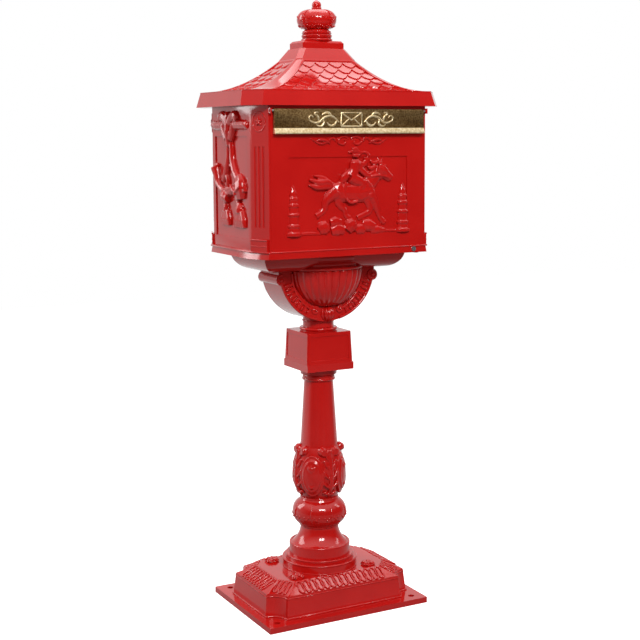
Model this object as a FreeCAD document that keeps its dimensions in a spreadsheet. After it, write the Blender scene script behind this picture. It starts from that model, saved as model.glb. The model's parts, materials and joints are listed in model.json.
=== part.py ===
import FreeCAD, Part
import math
import os
import re
from types import SimpleNamespace

from FreeCAD import Placement, Rotation, Vector

# Pedestal mailbox of cast aluminium. Millimetres, +Z up, the front faces -Y,
# the origin lies on the ground under the middle of the post.

SIZES = {
    # Base: bolted plate, plinth with scooped corners, sloping ribbed border, round collar
    "plate_length": 338,
    "plate_width": 252,
    "plate_thick": 11,
    "anchor_spacing_x": 290,
    "anchor_spacing_y": 212,
    "anchor_hole_radius": 6,
    "plinth_length": 308,
    "plinth_width": 208,
    "plinth_height": 43,
    "plinth_draft": 5,
    "scoop_radius": 30,
    "slope_run_x": 35,
    "slope_run_y": 28,
    "slope_rise": 16,
    "slope_corner_cut": 24,
    "base_wall": 8,
    "rib_pitch": 14,
    "rib_width": 9,
    "rib_height": 2.5,
    "rosette_radius": 13,
    "rosette_height": 4.5,
    "rosette_petals": 8,
    "petal_depth": 2,
    "rosette_spacing_x": 156,
    "rosette_spacing_y": 108,
    "collar_radius": 72,
    "collar_height": 18,
    "step_radius": 65,
    "step_height": 7,
    # Post: turned profile, levels counted from the foot of the post
    "post_bore_radius": 20,
    "post_foot_radius": 59,
    "post_foot_height": 22,
    "waist_radius": 36.5,
    "waist_level": 55,
    "bulb_radius": 52.5,
    "bulb_level": 83,
    "throat_radius": 35,
    "throat_level": 113,
    "vase_radius": 47,
    "vase_level": 152,
    "shaft_foot_radius": 36,
    "shaft_foot_level": 216,
    "shaft_top_radius": 28,
    "shaft_top_level": 341,
    "crown_ring_radius": 35,
    "crown_ring_height": 11,
    "post_height": 365,
    "leaf_width": 30,
    "leaf_relief": 4.5,
    "leaf_sink": 1.5,
    "curl_radius": 6.5,
    "curl_length": 26,
    "edge_break": 3,
    # Capital block
    "block_rim_width": 99,
    "block_rim_height": 14,
    "block_width": 98,
    "block_top_width": 93,
    "block_height": 59,
    "block_panel_margin": 7,
    "block_panel_sink": 1.2,
    "panel_sink": 2,
    # Bowl bracket with scroll arms and half bowls
    "neck_radius": 29.5,
    "neck_ring_radius": 34,
    "neck_ring_height": 7,
    "neck_height": 19,
    "bowl_height": 132.5,
    "basin_radius": 102,
    "basin_depth": 64,
    "arm_width": 27,
    "arm_relief": 5,
    "arm_rib_count": 7,
    "arm_rib_width": 5,
    "scroll_radius": 10.5,
    "scroll_spacing": 194,
    "scroll_drop": 47.5,
    "arm_tip_radius": 8,
    "arm_tip_spacing": 52,
    "bud_radius": 14,
    "bud_petals": 8,
    "half_bowl_radius": 66,
    "half_bowl_bulge": 40,
    "half_bowl_height": 57,
    "half_bowl_drop": 42,
    "bowl_lobe_count": 9,
    "bowl_lobe_depth": 3,
    "bowl_ring_lip": 4,
    "moulding_length": 296,
    "moulding_width": 149,
    "moulding_height": 32,
    # Letter box: tray, walls and corner pilasters
    "tray_length": 367,
    "tray_width": 250,
    "tray_thick": 14,
    "tray_draft": 3,
    "tray_cut_x": 19,
    "tray_cut_y": 41,
    "tray_floor": 6,
    "box_length": 356,
    "box_width": 246,
    "box_height": 255.5,
    "corner_cut_x": 17,
    "corner_cut_y": 41,
    "wall_thick": 7,
    "ledge": 6,
    "front_return": 3,
    "seam": 0.2,
    "flange_width": 13,
    "flange_thick": 5,
    "lug_radius": 8,
    "lug_height": 12,
    "lug_inset": 22,
    "side_panel_margin": 11,
    "side_panel_foot": 19.5,
    "side_panel_height": 183,
    "flute_radius": 3,
    "flute_pitch": 9.5,
    "flute_foot": 42,
    "flute_height": 142,
    "pilaster_base_height": 20,
    "pilaster_base_relief": 2,
    "oval_height": 35,
    "oval_width": 29,
    "oval_drop": 28,
    "oval_relief": 3,
    "oval_petals": 12,
    "front_panel_margin": 36,
    "front_panel_foot": 25.5,
    "front_panel_height": 139,
    "relief_height": 5,
    "trophy_squeeze": 0.86,
    # Mail slot and flap
    "slot_margin": 20,
    "slot_height": 28,
    "slot_drop": 14,
    "flap_end_gap": 5,
    "flap_drop": 49.5,
    "flap_stand": 8,
    "flap_thick": 6,
    "flap_lip": 3.5,
    "flap_lip_height": 10,
    "flap_lip_edge": 2.5,
    "flap_axis_drop": 9,
    "flap_axis_stand": 4.5,
    "flap_barrel_radius": 3.7,
    "flap_pin_radius": 2,
    "flap_badge_length": 40,
    "flap_badge_height": 20,
    "flap_badge_relief": 1.5,
    "ear_height": 9.5,
    "ear_reach": 8.5,
    "running_gap": 0.05,
    # Collecting door and its cam lock in the back wall
    "door_opening_margin": 70,
    "door_opening_foot": 30,
    "door_opening_height": 177,
    "door_overlap": 10,
    "door_thick": 5,
    "door_gap": 0.6,
    "door_hinge_reach": 13,
    "door_hinge_clear": 7,
    "door_barrel_radius": 3.6,
    "door_barrel_length": 143,
    "door_pin_radius": 2,
    "door_lug_height": 8,
    "door_moulding_margin": 14,
    "door_moulding_width": 5,
    "door_moulding_relief": 2,
    "lock_inset": 24,
    "lock_level": 118,
    "lock_body_radius": 9,
    "lock_body_length": 14.5,
    "lock_head_radius": 11,
    "lock_head_thick": 3,
    "lock_nut_thick": 4,
    "lock_nut_radius": 12.5,
    "plug_radius": 5,
    "keyway_width": 1.4,
    "keyway_height": 6.5,
    "cam_length": 34,
    "cam_width": 11,
    "cam_thick": 2.5,
    "cam_gap": 0.8,
    "cam_screw_radius": 2,
    "cam_screw_length": 9,
    "cam_screw_head_radius": 4,
    "cam_screw_head_thick": 2.5,
    # Pagoda roof with fish-scale rows, cap plate and finial
    "eave_overhang_x": 25,
    "eave_overhang_y": 10,
    "eave_cut_x": 26,
    "eave_cut_y": 34,
    "eave_height": 25.5,
    "eave_flare": 6,
    "roof_rise": 59.5,
    "roof_neck_length": 120,
    "roof_neck_width": 84,
    "roof_neck_cut": 9,
    "roof_neck_height": 21.5,
    "roof_neck_taper": 13,
    "roof_wall": 8,
    "scale_rows": 6,
    "scale_width": 34,
    "scale_lift": 3,
    "cap_length": 88,
    "cap_width": 55,
    "cap_height": 14.5,
    "cap_wall": 9,
    "finial_height": 75,
    "finial_foot_radius": 28,
    "finial_foot_height": 22,
    "finial_bulb_radius": 37,
    "finial_bulb_height": 34,
    "finial_knob_radius": 9.3,
    "crown_band_width": 6,
    "crown_band_relief": 1.5,
    "crown_band_turn": 20,
    "finial_stud_radius": 4,
    "finial_stud_depth": 18,
    # Fasteners
    "rod_radius": 6,
    "rod_clearance": 1,
    "rod_nut_thick": 10,
    "rod_nut_radius": 11,
    "rod_washer_radius": 18,
    "rod_washer_thick": 3,
    "rod_spare": 4,
    "screw_radius": 2.5,
    "screw_head_radius": 4.5,
    "screw_head_thick": 3,
    "screw_bite": 9,
    "bowl_screw_spacing_x": 200,
    "bowl_screw_spacing_y": 80,
    "rim_screw_offset": 135,
}

# Heights of the stacked castings, as formulas of the sizes
LEVELS = {
    "plinth_top": "plate_thick + plinth_height",
    "base_top": "plinth_top + slope_rise",
    "post_foot": "base_top + collar_height + step_height",
    "post_top": "post_foot + post_height",
    "block_foot": "post_top + block_rim_height",
    "block_top": "block_foot + block_height",
    "bowl_foot": "block_top + neck_height",
    "tray_foot": "bowl_foot + bowl_height",
    "basin_level": "tray_foot - moulding_height + edge_break",
    "box_foot": "tray_foot + tray_thick",
    "eave_foot": "box_foot + box_height",
    "eave_top": "eave_foot + eave_height",
    "roof_neck_foot": "eave_top + roof_rise",
    "cap_foot": "roof_neck_foot + roof_neck_height",
    "cap_top": "cap_foot + cap_height",
    "flap_axis_level": "eave_foot - flap_axis_drop",
    "flap_axis_y": "box_width / 2 + flap_axis_stand",
    "panel_half": "box_length / 2 - corner_cut_x - front_return",
    "pilaster_width": "sqrt(corner_cut_x ^ 2 + corner_cut_y ^ 2)",
    "flap_length": "2 * panel_half - 2 * flap_end_gap",
    "door_opening_length": "box_length - 2 * door_opening_margin",
    "door_hinge_offset": "door_opening_length / 2 + door_hinge_reach",
    "lock_offset": "door_opening_length / 2 - lock_inset",
    "door_axis_y": "box_width / 2 + door_gap + door_barrel_radius",
    "door_face": "box_width / 2 + door_gap + door_thick",
    "lock_height": "box_foot + lock_level",
    "cam_back": "door_face - lock_body_length - cam_gap - cam_thick",
    "lug_x": "box_length / 2 - lug_inset",
    "lug_y": "box_width / 2 - lug_inset",
}

UP = Vector(0, 0, 1)
QUARTERS = (0, 90, 180, 270)
CORNERS = ((1, 1), (-1, 1), (-1, -1), (1, -1))
ARC_MIDDLE = math.sqrt(0.5)

doc = FreeCAD.newDocument("pedestal_mailbox")
sheet = doc.addObject("Spreadsheet::Sheet", "Dims")
for row, (alias, number) in enumerate(SIZES.items(), start=1):
    sheet.set(f"A{row}", alias)
    sheet.set(f"B{row}", str(number))
    sheet.setAlias(f"B{row}", alias)
doc.recompute()


def linked(formula):
    """Formula with every size and level name turned into a reference to the sheet."""
    def reference(match):
        word = match[0]
        if word in LEVELS:
            return f"({linked(LEVELS[word])})"
        return f"Dims.{word}" if word in SIZES else word
    return re.sub(r"[a-z_]+", reference, formula)


def value(formula):
    """Number that a formula of size names gives."""
    return float(sheet.evalExpression(linked(formula)))


at = SimpleNamespace(**{name: value(name) for name in (*SIZES, *LEVELS)})
subparts = {}


def named(name, thing):
    """Registers a finished sub-part under its own label."""
    thing.Label = name
    subparts[name] = thing
    return thing


# Small tools that make bound objects

def bind(thing, properties, formulas):
    for prop, formula in zip(properties, formulas):
        thing.setExpression(prop, linked(formula))


def place(thing, position, turn=None):
    """Turns a primitive and binds its position to formulas."""
    if turn is not None:
        thing.Placement = Placement(Vector(), turn)
    bind(thing, ("Placement.Base.x", "Placement.Base.y", "Placement.Base.z"), position)
    return thing


def box(name, lengths, corner):
    solid = doc.addObject("Part::Box", name)
    bind(solid, ("Length", "Width", "Height"), lengths)
    return place(solid, corner)


def centred_box(name, lengths, foot):
    """Box that stands centred on the point foot."""
    length, width, _ = lengths
    x, y, z = foot
    return box(name, lengths, (f"{x} - ({length}) / 2", f"{y} - ({width}) / 2", z))


def cylinder(name, radius, height, foot, along=UP):
    solid = doc.addObject("Part::Cylinder", name)
    bind(solid, ("Radius", "Height"), (radius, height))
    return place(solid, foot, Rotation(UP, along))


def hexagon(name, radius, height, foot, along=UP):
    solid = doc.addObject("Part::Prism", name)
    solid.Polygon = 6
    bind(solid, ("Circumradius", "Height"), (radius, height))
    return place(solid, foot, Rotation(UP, along))


def joined(name, things, refine=True):
    whole = doc.addObject("Part::MultiFuse", name)
    whole.Shapes = things
    whole.Refine = refine
    return whole


def cut(name, base, tools):
    tool = tools[0] if len(tools) == 1 else joined(f"{name}_tools", tools)
    rest = doc.addObject("Part::Cut", name)
    rest.Base = base
    rest.Tool = tool
    rest.Refine = True
    return rest


def shared(name, things):
    both = doc.addObject("Part::MultiCommon", name)
    both.Shapes = things
    return both


def group(name, things):
    """Several equal solids under one label."""
    bundle = doc.addObject("Part::Compound", name)
    bundle.Links = things
    return bundle


def formed(name, shape):
    """Object whose shape is worked out in code from the sheet's sizes."""
    thing = doc.addObject("Part::Feature", name)
    thing.Shape = shape
    return thing


def revolved(name, edges):
    """Solid of revolution about the Z axis from the edges of its half section."""
    section = formed(f"{name}_section", Part.Face(Part.Wire(edges)))
    solid = doc.addObject("Part::Revolution", name)
    solid.Source = section
    solid.Axis = UP
    solid.Solid = True
    return solid


def loft(name, wires):
    """Solid ruled through level outlines."""
    solid = doc.addObject("Part::Loft", name)
    solid.Sections = [formed(f"{name}_outline_{i}", wire) for i, wire in enumerate(wires)]
    solid.Solid = True
    solid.Ruled = True
    return solid


def outline_body(name, plane, offset, corners, length):
    """Body padded from a sketched outline whose corners are bound to formulas."""
    body = doc.addObject("PartDesign::Body", name)
    sketch = body.newObject("Sketcher::SketchObject", f"{name}_sketch")
    planes = {feature.Role: feature for feature in body.Origin.OriginFeatures}
    sketch.AttachmentSupport = (planes[plane], [""])
    sketch.MapMode = "FlatFace"
    sketch.setExpression("AttachmentOffset.Base.z", linked(offset))
    points = [Vector(value(u), value(v), 0) for u, v in corners]
    for first, last in zip(points, points[1:] + points[:1]):
        sketch.addGeometry(Part.LineSegment(first, last), False)
    start, end = 1, 2
    origin = -1
    for i, (point, (u, v)) in enumerate(zip(points, corners)):
        constrain(sketch, ("Coincident", i - 1 if i else len(points) - 1, end, i, start))
        for kind, number, formula in (("DistanceX", point.x, u), ("DistanceY", point.y, v)):
            index = constrain(sketch, (kind, origin, start, i, start, number))
            sketch.setExpression(f"Constraints[{index}]", linked(formula))
    pad = body.newObject("PartDesign::Pad", f"{name}_pad")
    pad.Profile = sketch
    pad.setExpression("Length", linked(length))
    body.Tip = pad
    return body


def constrain(sketch, terms):
    import Sketcher
    return sketch.addConstraint(Sketcher.Constraint(*terms))


# Outlines that several castings share

def cornered_wire(half_x, half_y, cut_x, cut_y, level, scooped=False):
    """Level rectangle whose corners are cut straight, or scooped in by an arc."""
    ends = []
    for side_x, side_y in CORNERS:
        beside = Vector(side_x * half_x, side_y * (half_y - cut_y), level)
        before = Vector(side_x * (half_x - cut_x), side_y * half_y, level)
        ends.append((beside, before) if side_x == side_y else (before, beside))
    edges = []
    for (first, last), (following, _), (side_x, side_y) in zip(ends, ends[1:] + ends[:1], CORNERS):
        middle_x = side_x * (half_x - cut_x * ARC_MIDDLE)
        middle_y = side_y * (half_y - cut_y * ARC_MIDDLE)
        if scooped:
            edges.append(Part.Arc(first, Vector(middle_x, middle_y, level), last).toShape())
        else:
            edges.append(Part.makeLine(first, last))
        edges.append(Part.makeLine(last, following))
    return Part.Wire(edges)


def octagon_corners(half_x, half_y, cut_x, cut_y):
    """Formulas of a rectangle outline with straight-cut corners."""
    points = []
    for side_x, side_y in CORNERS:
        beside = (f"{side_x} * ({half_x})", f"{side_y} * ({half_y} - ({cut_y}))")
        before = (f"{side_x} * ({half_x} - ({cut_x}))", f"{side_y} * ({half_y})")
        points += [beside, before] if side_x == side_y else [before, beside]
    return points


def rectangle_corners(left, right, bottom, top):
    return [(left, bottom), (right, bottom), (right, top), (left, top)]


def petal_wire(centre, across, upward, half_across, half_up, count):
    """Closed outline of convex petals round an ellipse, in the plane of two directions."""
    def spot(turn, inset):
        return (centre + across * ((half_across - inset) * math.cos(turn))
                + upward * ((half_up - inset) * math.sin(turn)))

    step = 2 * math.pi / count
    cusps = [spot(step * i, at.petal_depth) for i in range(int(count))]
    crowns = [spot(step * (i + 0.5), 0) for i in range(int(count))]
    return Part.Wire([Part.Arc(a, crown, b).toShape()
                      for a, crown, b in zip(cusps, crowns, cusps[1:] + cusps[:1])])


def petal_boss(name, centre, facing, half_across, half_up, count, height):
    """Low boss of petals that stands out of a face, rooted a little below it."""
    across = Vector(1, 0, 0) if facing == UP else UP.cross(facing)
    upward = facing.cross(across)
    return loft(name, [
        petal_wire(centre + facing * (height * rise), across, upward,
                   half_across * scale, half_up * scale, count)
        for rise, scale in ((-0.5, 1), (0.5, 1), (1, 0.6))])


# Flat ornament: tapered limbs drawn in a panel's plane and raised from it

def limb(start, end, start_radius, end_radius, height):
    """Rounded tapering bar between two points, raised by height along +Z."""
    p = Vector(*start, 0)
    q = Vector(*end, 0)
    along = (q - p).normalize()
    lean = math.acos((start_radius - end_radius) / (q - p).Length)
    left = Rotation(UP, math.degrees(lean)).multVec(along)
    right = Rotation(UP, -math.degrees(lean)).multVec(along)
    tail = Part.Arc(p + left * start_radius, p - along * start_radius, p + right * start_radius)
    nose = Part.Arc(q + right * end_radius, q + along * end_radius, q + left * end_radius)
    edges = [
        tail.toShape(),
        Part.makeLine(p + right * start_radius, q + right * end_radius),
        nose.toShape(),
        Part.makeLine(q + left * end_radius, p + left * start_radius),
    ]
    return Part.Face(Part.Wire(edges)).extrude(UP * height)


def ornament(limbs):
    """One solid from many limbs."""
    first, *others = [limb(*one) for one in limbs]
    return first.fuse(others).removeSplitter() if others else first


# Base

def base_casting():
    wall_x = at.plinth_length / 2 - at.plinth_draft
    wall_y = at.plinth_width / 2 - at.plinth_draft
    top_x = wall_x - at.slope_run_x
    top_y = wall_y - at.slope_run_y
    scoop = at.scoop_radius
    inner_scoop = scoop + at.base_wall
    plate = centred_box("base_plate", ("plate_length", "plate_width", "plate_thick"), ("0", "0", "0"))
    plinth = loft("base_plinth", [
        cornered_wire(at.plinth_length / 2, at.plinth_width / 2, scoop, scoop, 0, True),
        cornered_wire(wall_x, wall_y, scoop, scoop, at.plinth_top, True),
        cornered_wire(top_x, top_y, at.slope_corner_cut, at.slope_corner_cut, at.base_top),
    ])
    hollow_x = wall_x - at.base_wall
    hollow_y = wall_y - at.base_wall
    hollow_cut = at.slope_corner_cut
    hollow = loft("base_hollow", [
        cornered_wire(hollow_x, hollow_y, inner_scoop, inner_scoop, -at.base_wall, True),
        cornered_wire(hollow_x, hollow_y, inner_scoop, inner_scoop, at.plinth_top - at.base_wall, True),
        cornered_wire(hollow_x - at.slope_run_x, hollow_y - at.slope_run_y, hollow_cut, hollow_cut,
                      at.base_top - at.base_wall),
    ])
    collar = cylinder("base_collar", "collar_radius", "collar_height", ("0", "0", "base_top"))
    step = cylinder("base_step", "step_radius", "step_height + collar_height", ("0", "0", "base_top"))
    well = cylinder("base_well", "step_radius - 2 * base_wall", "collar_height + step_height",
                    ("0", "0", "base_top - base_wall"))
    rod_hole = cylinder("base_rod_hole", "rod_radius + rod_clearance", "post_foot", ("0", "0", "0"))
    rosettes = []
    anchors = []
    for i, (side_x, side_y) in enumerate(CORNERS):
        spot = Vector(side_x * at.rosette_spacing_x / 2, side_y * at.rosette_spacing_y / 2, at.base_top)
        rosettes.append(petal_boss(f"rosette_{i}", spot, UP, at.rosette_radius, at.rosette_radius,
                                   at.rosette_petals, at.rosette_height))
        anchors.append(cylinder(f"anchor_hole_{i}", "anchor_hole_radius", "2 * plate_thick",
                                (f"{side_x} * anchor_spacing_x / 2", f"{side_y} * anchor_spacing_y / 2",
                                 "-plate_thick / 2")))
    ribs = formed("base_ribs", Part.makeCompound(border_ribs(wall_x, wall_y, top_x, top_y)))
    raised = joined("base_raised", [plate, plinth, collar, step, ribs, *rosettes])
    named("base_casting", cut("base_casting", raised, [hollow, well, rod_hole, *anchors]))


def border_ribs(wall_x, wall_y, top_x, top_y):
    """Rounded ribs that run up the sloping border, with a fan of three on each corner."""
    ribs = []
    cut_length = at.slope_corner_cut
    for turn, foot_half, top_half, reach in (
            (0, wall_y, top_y, top_x), (90, wall_x, top_x, top_y),
            (180, wall_y, top_y, top_x), (270, wall_x, top_x, top_y)):
        count = int(2 * (reach - cut_length) / at.rib_pitch)
        for i in range(count):
            along = (i - (count - 1) / 2) * at.rib_pitch
            ribs.append(slope_rib(Vector(along, -foot_half, at.plinth_top),
                                  Vector(along, -top_half, at.base_top), turn))
    for side_x, side_y in CORNERS:
        scoop_share = at.scoop_radius * ARC_MIDDLE
        foot = Vector(side_x * (wall_x - scoop_share), side_y * (wall_y - scoop_share), at.plinth_top)
        top = Vector(side_x * (top_x - cut_length / 2), side_y * (top_y - cut_length / 2), at.base_top)
        across = (top - foot).cross(UP).normalize() * at.rib_pitch * ARC_MIDDLE
        ribs += [slope_rib(foot + across * k, top + across * k, 0) for k in (-1, 0, 1)]
    return ribs


def slope_rib(foot, top, turn):
    """Rib with rounded ends lying on the line from foot to top."""
    up_slope = (top - foot).normalize()
    across = up_slope.cross(UP).normalize()
    length = (top - foot).Length
    radius = at.rib_width / 2
    rib = limb((0, radius + 1), (0, length - radius - 1), radius, radius, 2 * at.rib_height)
    normal = across.cross(up_slope)
    frame = FreeCAD.Matrix(
        across.x, up_slope.x, normal.x, foot.x - normal.x * at.rib_height,
        across.y, up_slope.y, normal.y, foot.y - normal.y * at.rib_height,
        across.z, up_slope.z, normal.z, foot.z - normal.z * at.rib_height,
        0, 0, 0, 1)
    rib.Placement = Placement(frame)
    rib.rotate(Vector(), UP, turn)
    return rib


# Post

def post_spot(radius, level):
    """Point of the post's half section at a level counted from its foot."""
    return Vector(radius, 0, at.post_foot + level)


def vase_arc():
    """Swelling of the vase, from above the throat through its widest place to the foot of the shaft."""
    ease = at.edge_break
    return Part.Arc(post_spot(at.throat_radius + ease / 2, at.throat_level + ease),
                    post_spot(at.vase_radius, at.vase_level),
                    post_spot(at.shaft_foot_radius, at.shaft_foot_level))


def post_column():
    bore = at.post_bore_radius
    ease = at.edge_break
    top = at.post_height
    ring_foot = top - at.crown_ring_height
    foot_top = at.post_foot_height
    bulb_rise = at.bulb_level - at.waist_level
    throat_fall = at.throat_level - at.bulb_level

    def line(*spots):
        return [Part.makeLine(a, b) for a, b in zip(spots, spots[1:])]

    foot_rim = post_spot(at.post_foot_radius, foot_top - ease)
    hollow_start = post_spot(at.post_foot_radius - 2 * ease, foot_top)
    waist = post_spot(at.waist_radius, at.waist_level)
    hollow_middle = post_spot(at.waist_radius + ease, at.waist_level - bulb_rise / 2)
    bulb_foot = post_spot(at.waist_radius + ease, at.waist_level + ease)
    bulb = post_spot(at.bulb_radius, at.bulb_level)
    bulb_top = post_spot(at.throat_radius + ease, at.throat_level - throat_fall / 5)
    throat = post_spot(at.throat_radius, at.throat_level)
    vase = vase_arc()
    shaft_top = post_spot(at.shaft_top_radius, at.shaft_top_level)
    bead_side = post_spot(at.shaft_top_radius + ease, at.shaft_top_level + 2 * ease)
    bead_top = post_spot(at.shaft_top_radius + ease / 2, at.shaft_top_level + 4 * ease)
    edges = line(post_spot(bore, 0), post_spot(at.post_foot_radius, 0), foot_rim, hollow_start)
    edges.append(Part.Arc(hollow_start, hollow_middle, waist).toShape())
    edges += line(waist, bulb_foot)
    edges.append(Part.Arc(bulb_foot, bulb, bulb_top).toShape())
    edges += line(bulb_top, throat, vase.StartPoint)
    edges.append(vase.toShape())
    edges += line(vase.EndPoint, shaft_top)
    edges.append(Part.Arc(shaft_top, bead_side, bead_top).toShape())
    edges += line(bead_top, post_spot(at.crown_ring_radius, ring_foot), post_spot(at.crown_ring_radius, top),
                  post_spot(bore, top), post_spot(bore, 0))
    turned = revolved("post_turned", edges)
    named("post_column", joined("post_column", [turned, *vase_leaves()], refine=False))


def vase_leaves():
    """Four curled leaves to the sides and four smooth shields on the diagonals of the vase."""
    pieces = []
    ridge, table = 0.15, 0.6
    foot = at.throat_level + 2 * at.edge_break
    tip = at.shaft_foot_level - at.edge_break
    half = at.leaf_width / 2
    for turn in QUARTERS:
        pieces.append(loft(f"leaf_{turn}", leaf_outlines(turn, half, foot, tip, ridge)))
        pieces.append(loft(f"shield_{turn}", leaf_outlines(turn + 45, half - at.edge_break, foot,
                                                           tip - 4 * at.edge_break, table)))
        side = Rotation(UP, turn).multVec(Vector(1, 0, 0))
        out = Rotation(UP, turn).multVec(Vector(0, -1, 0))
        start = [f"({round(o)}) * (shaft_foot_radius + edge_break) - ({round(s)}) * curl_length / 2"
                 for o, s in ((out.x, side.x), (out.y, side.y))]
        pieces.append(cylinder(f"curl_{turn}", "curl_radius", "curl_length",
                               (*start, "post_foot + shaft_foot_level - 2 * edge_break - curl_radius"), side))
    return pieces


def leaf_outlines(turn, half_width, foot, tip, flat):
    """Level sections of a leaf that lies on the vase, flat is the share of its width that stands out."""
    vase = vase_arc().toShape().Curve
    outlines = []
    for share in (0.04, 0.2, 0.45, 0.7, 0.96):
        level = at.post_foot + foot + (tip - foot) * share
        surface = vase.Center.x + math.sqrt(vase.Radius ** 2 - (level - vase.Center.z) ** 2)
        swell = math.sin(math.pi * share) ** 0.6
        spread = half_width * swell / surface
        crest = surface + at.leaf_relief * swell
        root = surface - at.leaf_sink
        points = []
        for radius, angle in ((root, -spread), (crest, -spread * flat), (crest, spread * flat),
                              (root, spread), (root - 2 * at.leaf_sink, 0)):
            bearing = math.radians(turn) + angle
            points.append(Vector(radius * math.sin(bearing), -radius * math.cos(bearing), level))
        outlines.append(Part.makePolygon(points + points[:1]))
    return outlines


# Capital block

def capital_block():
    rim = centred_box("block_rim", ("block_rim_width", "block_rim_width", "block_rim_height"),
                      ("0", "0", "post_top"))
    body = loft("block_body", [
        cornered_wire(width / 2, width / 2, at.edge_break, at.edge_break, level)
        for width, level in ((at.block_width, at.block_foot), (at.block_top_width, at.block_top))])
    lean = (at.block_width - at.block_top_width) / 2
    tilt = math.degrees(math.atan2(lean, at.block_height))
    span = at.block_top_width - 2 * at.block_panel_margin
    tall = at.block_height - 2 * at.block_panel_margin
    panels = []
    for turn in QUARTERS:
        sink = Part.makeBox(span, at.block_width, tall)
        sink.translate(Vector(-span / 2, at.block_panel_sink - at.block_width, at.block_panel_margin))
        sink.rotate(Vector(), Vector(1, 0, 0), -tilt)
        sink.translate(Vector(0, -at.block_width / 2, at.block_foot))
        sink.rotate(Vector(), UP, turn)
        panels.append(formed(f"block_sink_{turn}", sink))
    bore = cylinder("block_bore", "rod_radius + rod_clearance", "block_top - post_top",
                    ("0", "0", "post_top"))
    named("capital_block", cut("capital_block", joined("block_whole", [rim, body]), [bore, *panels]))


# Bowl bracket

def quarter_round(half_foot, half_top, span, along_x):
    """Bar with quarter-round lower edges, extruded over span."""
    def spot(out, level):
        return Vector(out, -span / 2, level) if along_x else Vector(-span / 2, out, level)

    foot = at.tray_foot - at.moulding_height
    rise = half_top - half_foot
    bend_out = half_foot + rise * ARC_MIDDLE
    bend_up = at.tray_foot - at.moulding_height * ARC_MIDDLE
    edges = [
        Part.makeLine(spot(-half_foot, foot), spot(half_foot, foot)),
        Part.Arc(spot(half_foot, foot), spot(bend_out, bend_up), spot(half_top, at.tray_foot)).toShape(),
        Part.makeLine(spot(half_top, at.tray_foot), spot(-half_top, at.tray_foot)),
        Part.Arc(spot(-half_top, at.tray_foot), spot(-bend_out, bend_up), spot(-half_foot, foot)).toShape(),
    ]
    direction = Vector(0, span, 0) if along_x else Vector(span, 0, 0)
    return Part.Face(Part.Wire(edges)).extrude(direction)


def support_bowl():
    back = Vector(0, 1, 0)
    half_length = at.moulding_length / 2
    half_width = at.moulding_width / 2
    rise = at.moulding_height
    moulding = shared("bowl_moulding", [
        formed("moulding_long", quarter_round(half_length - rise, half_length, at.moulding_width, True)),
        formed("moulding_wide", quarter_round(half_width - rise, half_width, at.moulding_length, False)),
    ])
    ring = cylinder("bowl_neck_ring", "neck_ring_radius", "neck_ring_height", ("0", "0", "block_top"))
    neck = cylinder("bowl_neck", "neck_radius", "neck_height + basin_radius / 4", ("0", "0", "block_top"))
    basin = lower_half("basin", "basin_radius", "basin_depth")
    arms = cut("bowl_arms", lower_half("arm_outer", "basin_radius", "basin_depth + 2 * arm_relief"),
               [cylinder("arm_inner", "basin_radius - arm_width", "basin_depth + 4 * arm_relief",
                         ("0", "-basin_depth / 2 - 2 * arm_relief", "basin_level"), back)])
    scrolls = []
    for side in (1, -1):
        scrolls.append(cylinder(
            f"scroll_{side + 1}", "scroll_radius", "basin_depth + 3 * arm_relief",
            (f"{side} * scroll_spacing / 2", "-basin_depth / 2 - 1.5 * arm_relief",
             "tray_foot - scroll_drop"), back))
        scrolls.append(cylinder(
            f"arm_tip_{side + 1}", "arm_tip_radius", "basin_depth + 3 * arm_relief",
            (f"{side} * arm_tip_spacing / 2", "-basin_depth / 2 - 1.5 * arm_relief",
             "basin_level - basin_radius + arm_width - arm_tip_radius / 2"), back))
        scrolls.append(leaf_bud(f"leaf_bud_{side + 1}", side))
    ribs = formed("arm_ribs", Part.makeCompound(arm_ribs()))
    solid = joined("bowl_solid", [moulding, ring, neck, basin, arms, ribs, *scrolls, *half_bowls()])
    bore = cylinder("bowl_bore", "rod_radius + rod_clearance", "tray_foot - block_top",
                    ("0", "0", "block_top"))
    screw_holes = [
        cylinder(f"bowl_screw_hole_{i}", "screw_radius + running_gap", "screw_bite + tray_floor",
                 (*spot, "tray_foot - screw_bite")) for i, spot in enumerate(bowl_screw_spots())]
    named("support_bowl", cut("support_bowl", solid, [bore, *screw_holes]))


def leaf_bud(name, side):
    """Hanging bud of leaves between the tips of the scroll arms."""
    middle = at.basin_level - at.basin_radius + at.bud_radius
    count = 2 * int(at.bud_petals)
    outlines = []
    for rise, scale in ((0.95, 0.5), (0.5, 0.85), (0, 1), (-0.6, 0.8), (-1, 0.35)):
        points = []
        for i in range(count):
            turn = 2 * math.pi * (i + 0.5) / count
            reach = (at.bud_radius - at.petal_depth * (i % 2)) * scale
            points.append(Vector(reach * math.cos(turn), side * at.basin_depth / 2 + reach * math.sin(turn),
                                 middle + at.bud_radius * rise))
        outlines.append(Part.makePolygon(points + points[:1]))
    return loft(name, outlines)


def bowl_screw_spots():
    return [(f"{side_x} * bowl_screw_spacing_x / 2", f"{side_y} * bowl_screw_spacing_y / 2")
            for side_x, side_y in CORNERS]


def lower_half(name, radius, depth):
    """Half cylinder lying along Y with its flat side up at the level of the basin."""
    solid = doc.addObject("Part::Cylinder", name)
    bind(solid, ("Radius", "Height"), (radius, depth))
    solid.Angle = 180
    return place(solid, ("0", f"-({depth}) / 2", "basin_level"), Rotation(Vector(1, 0, 0), -90))


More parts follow.
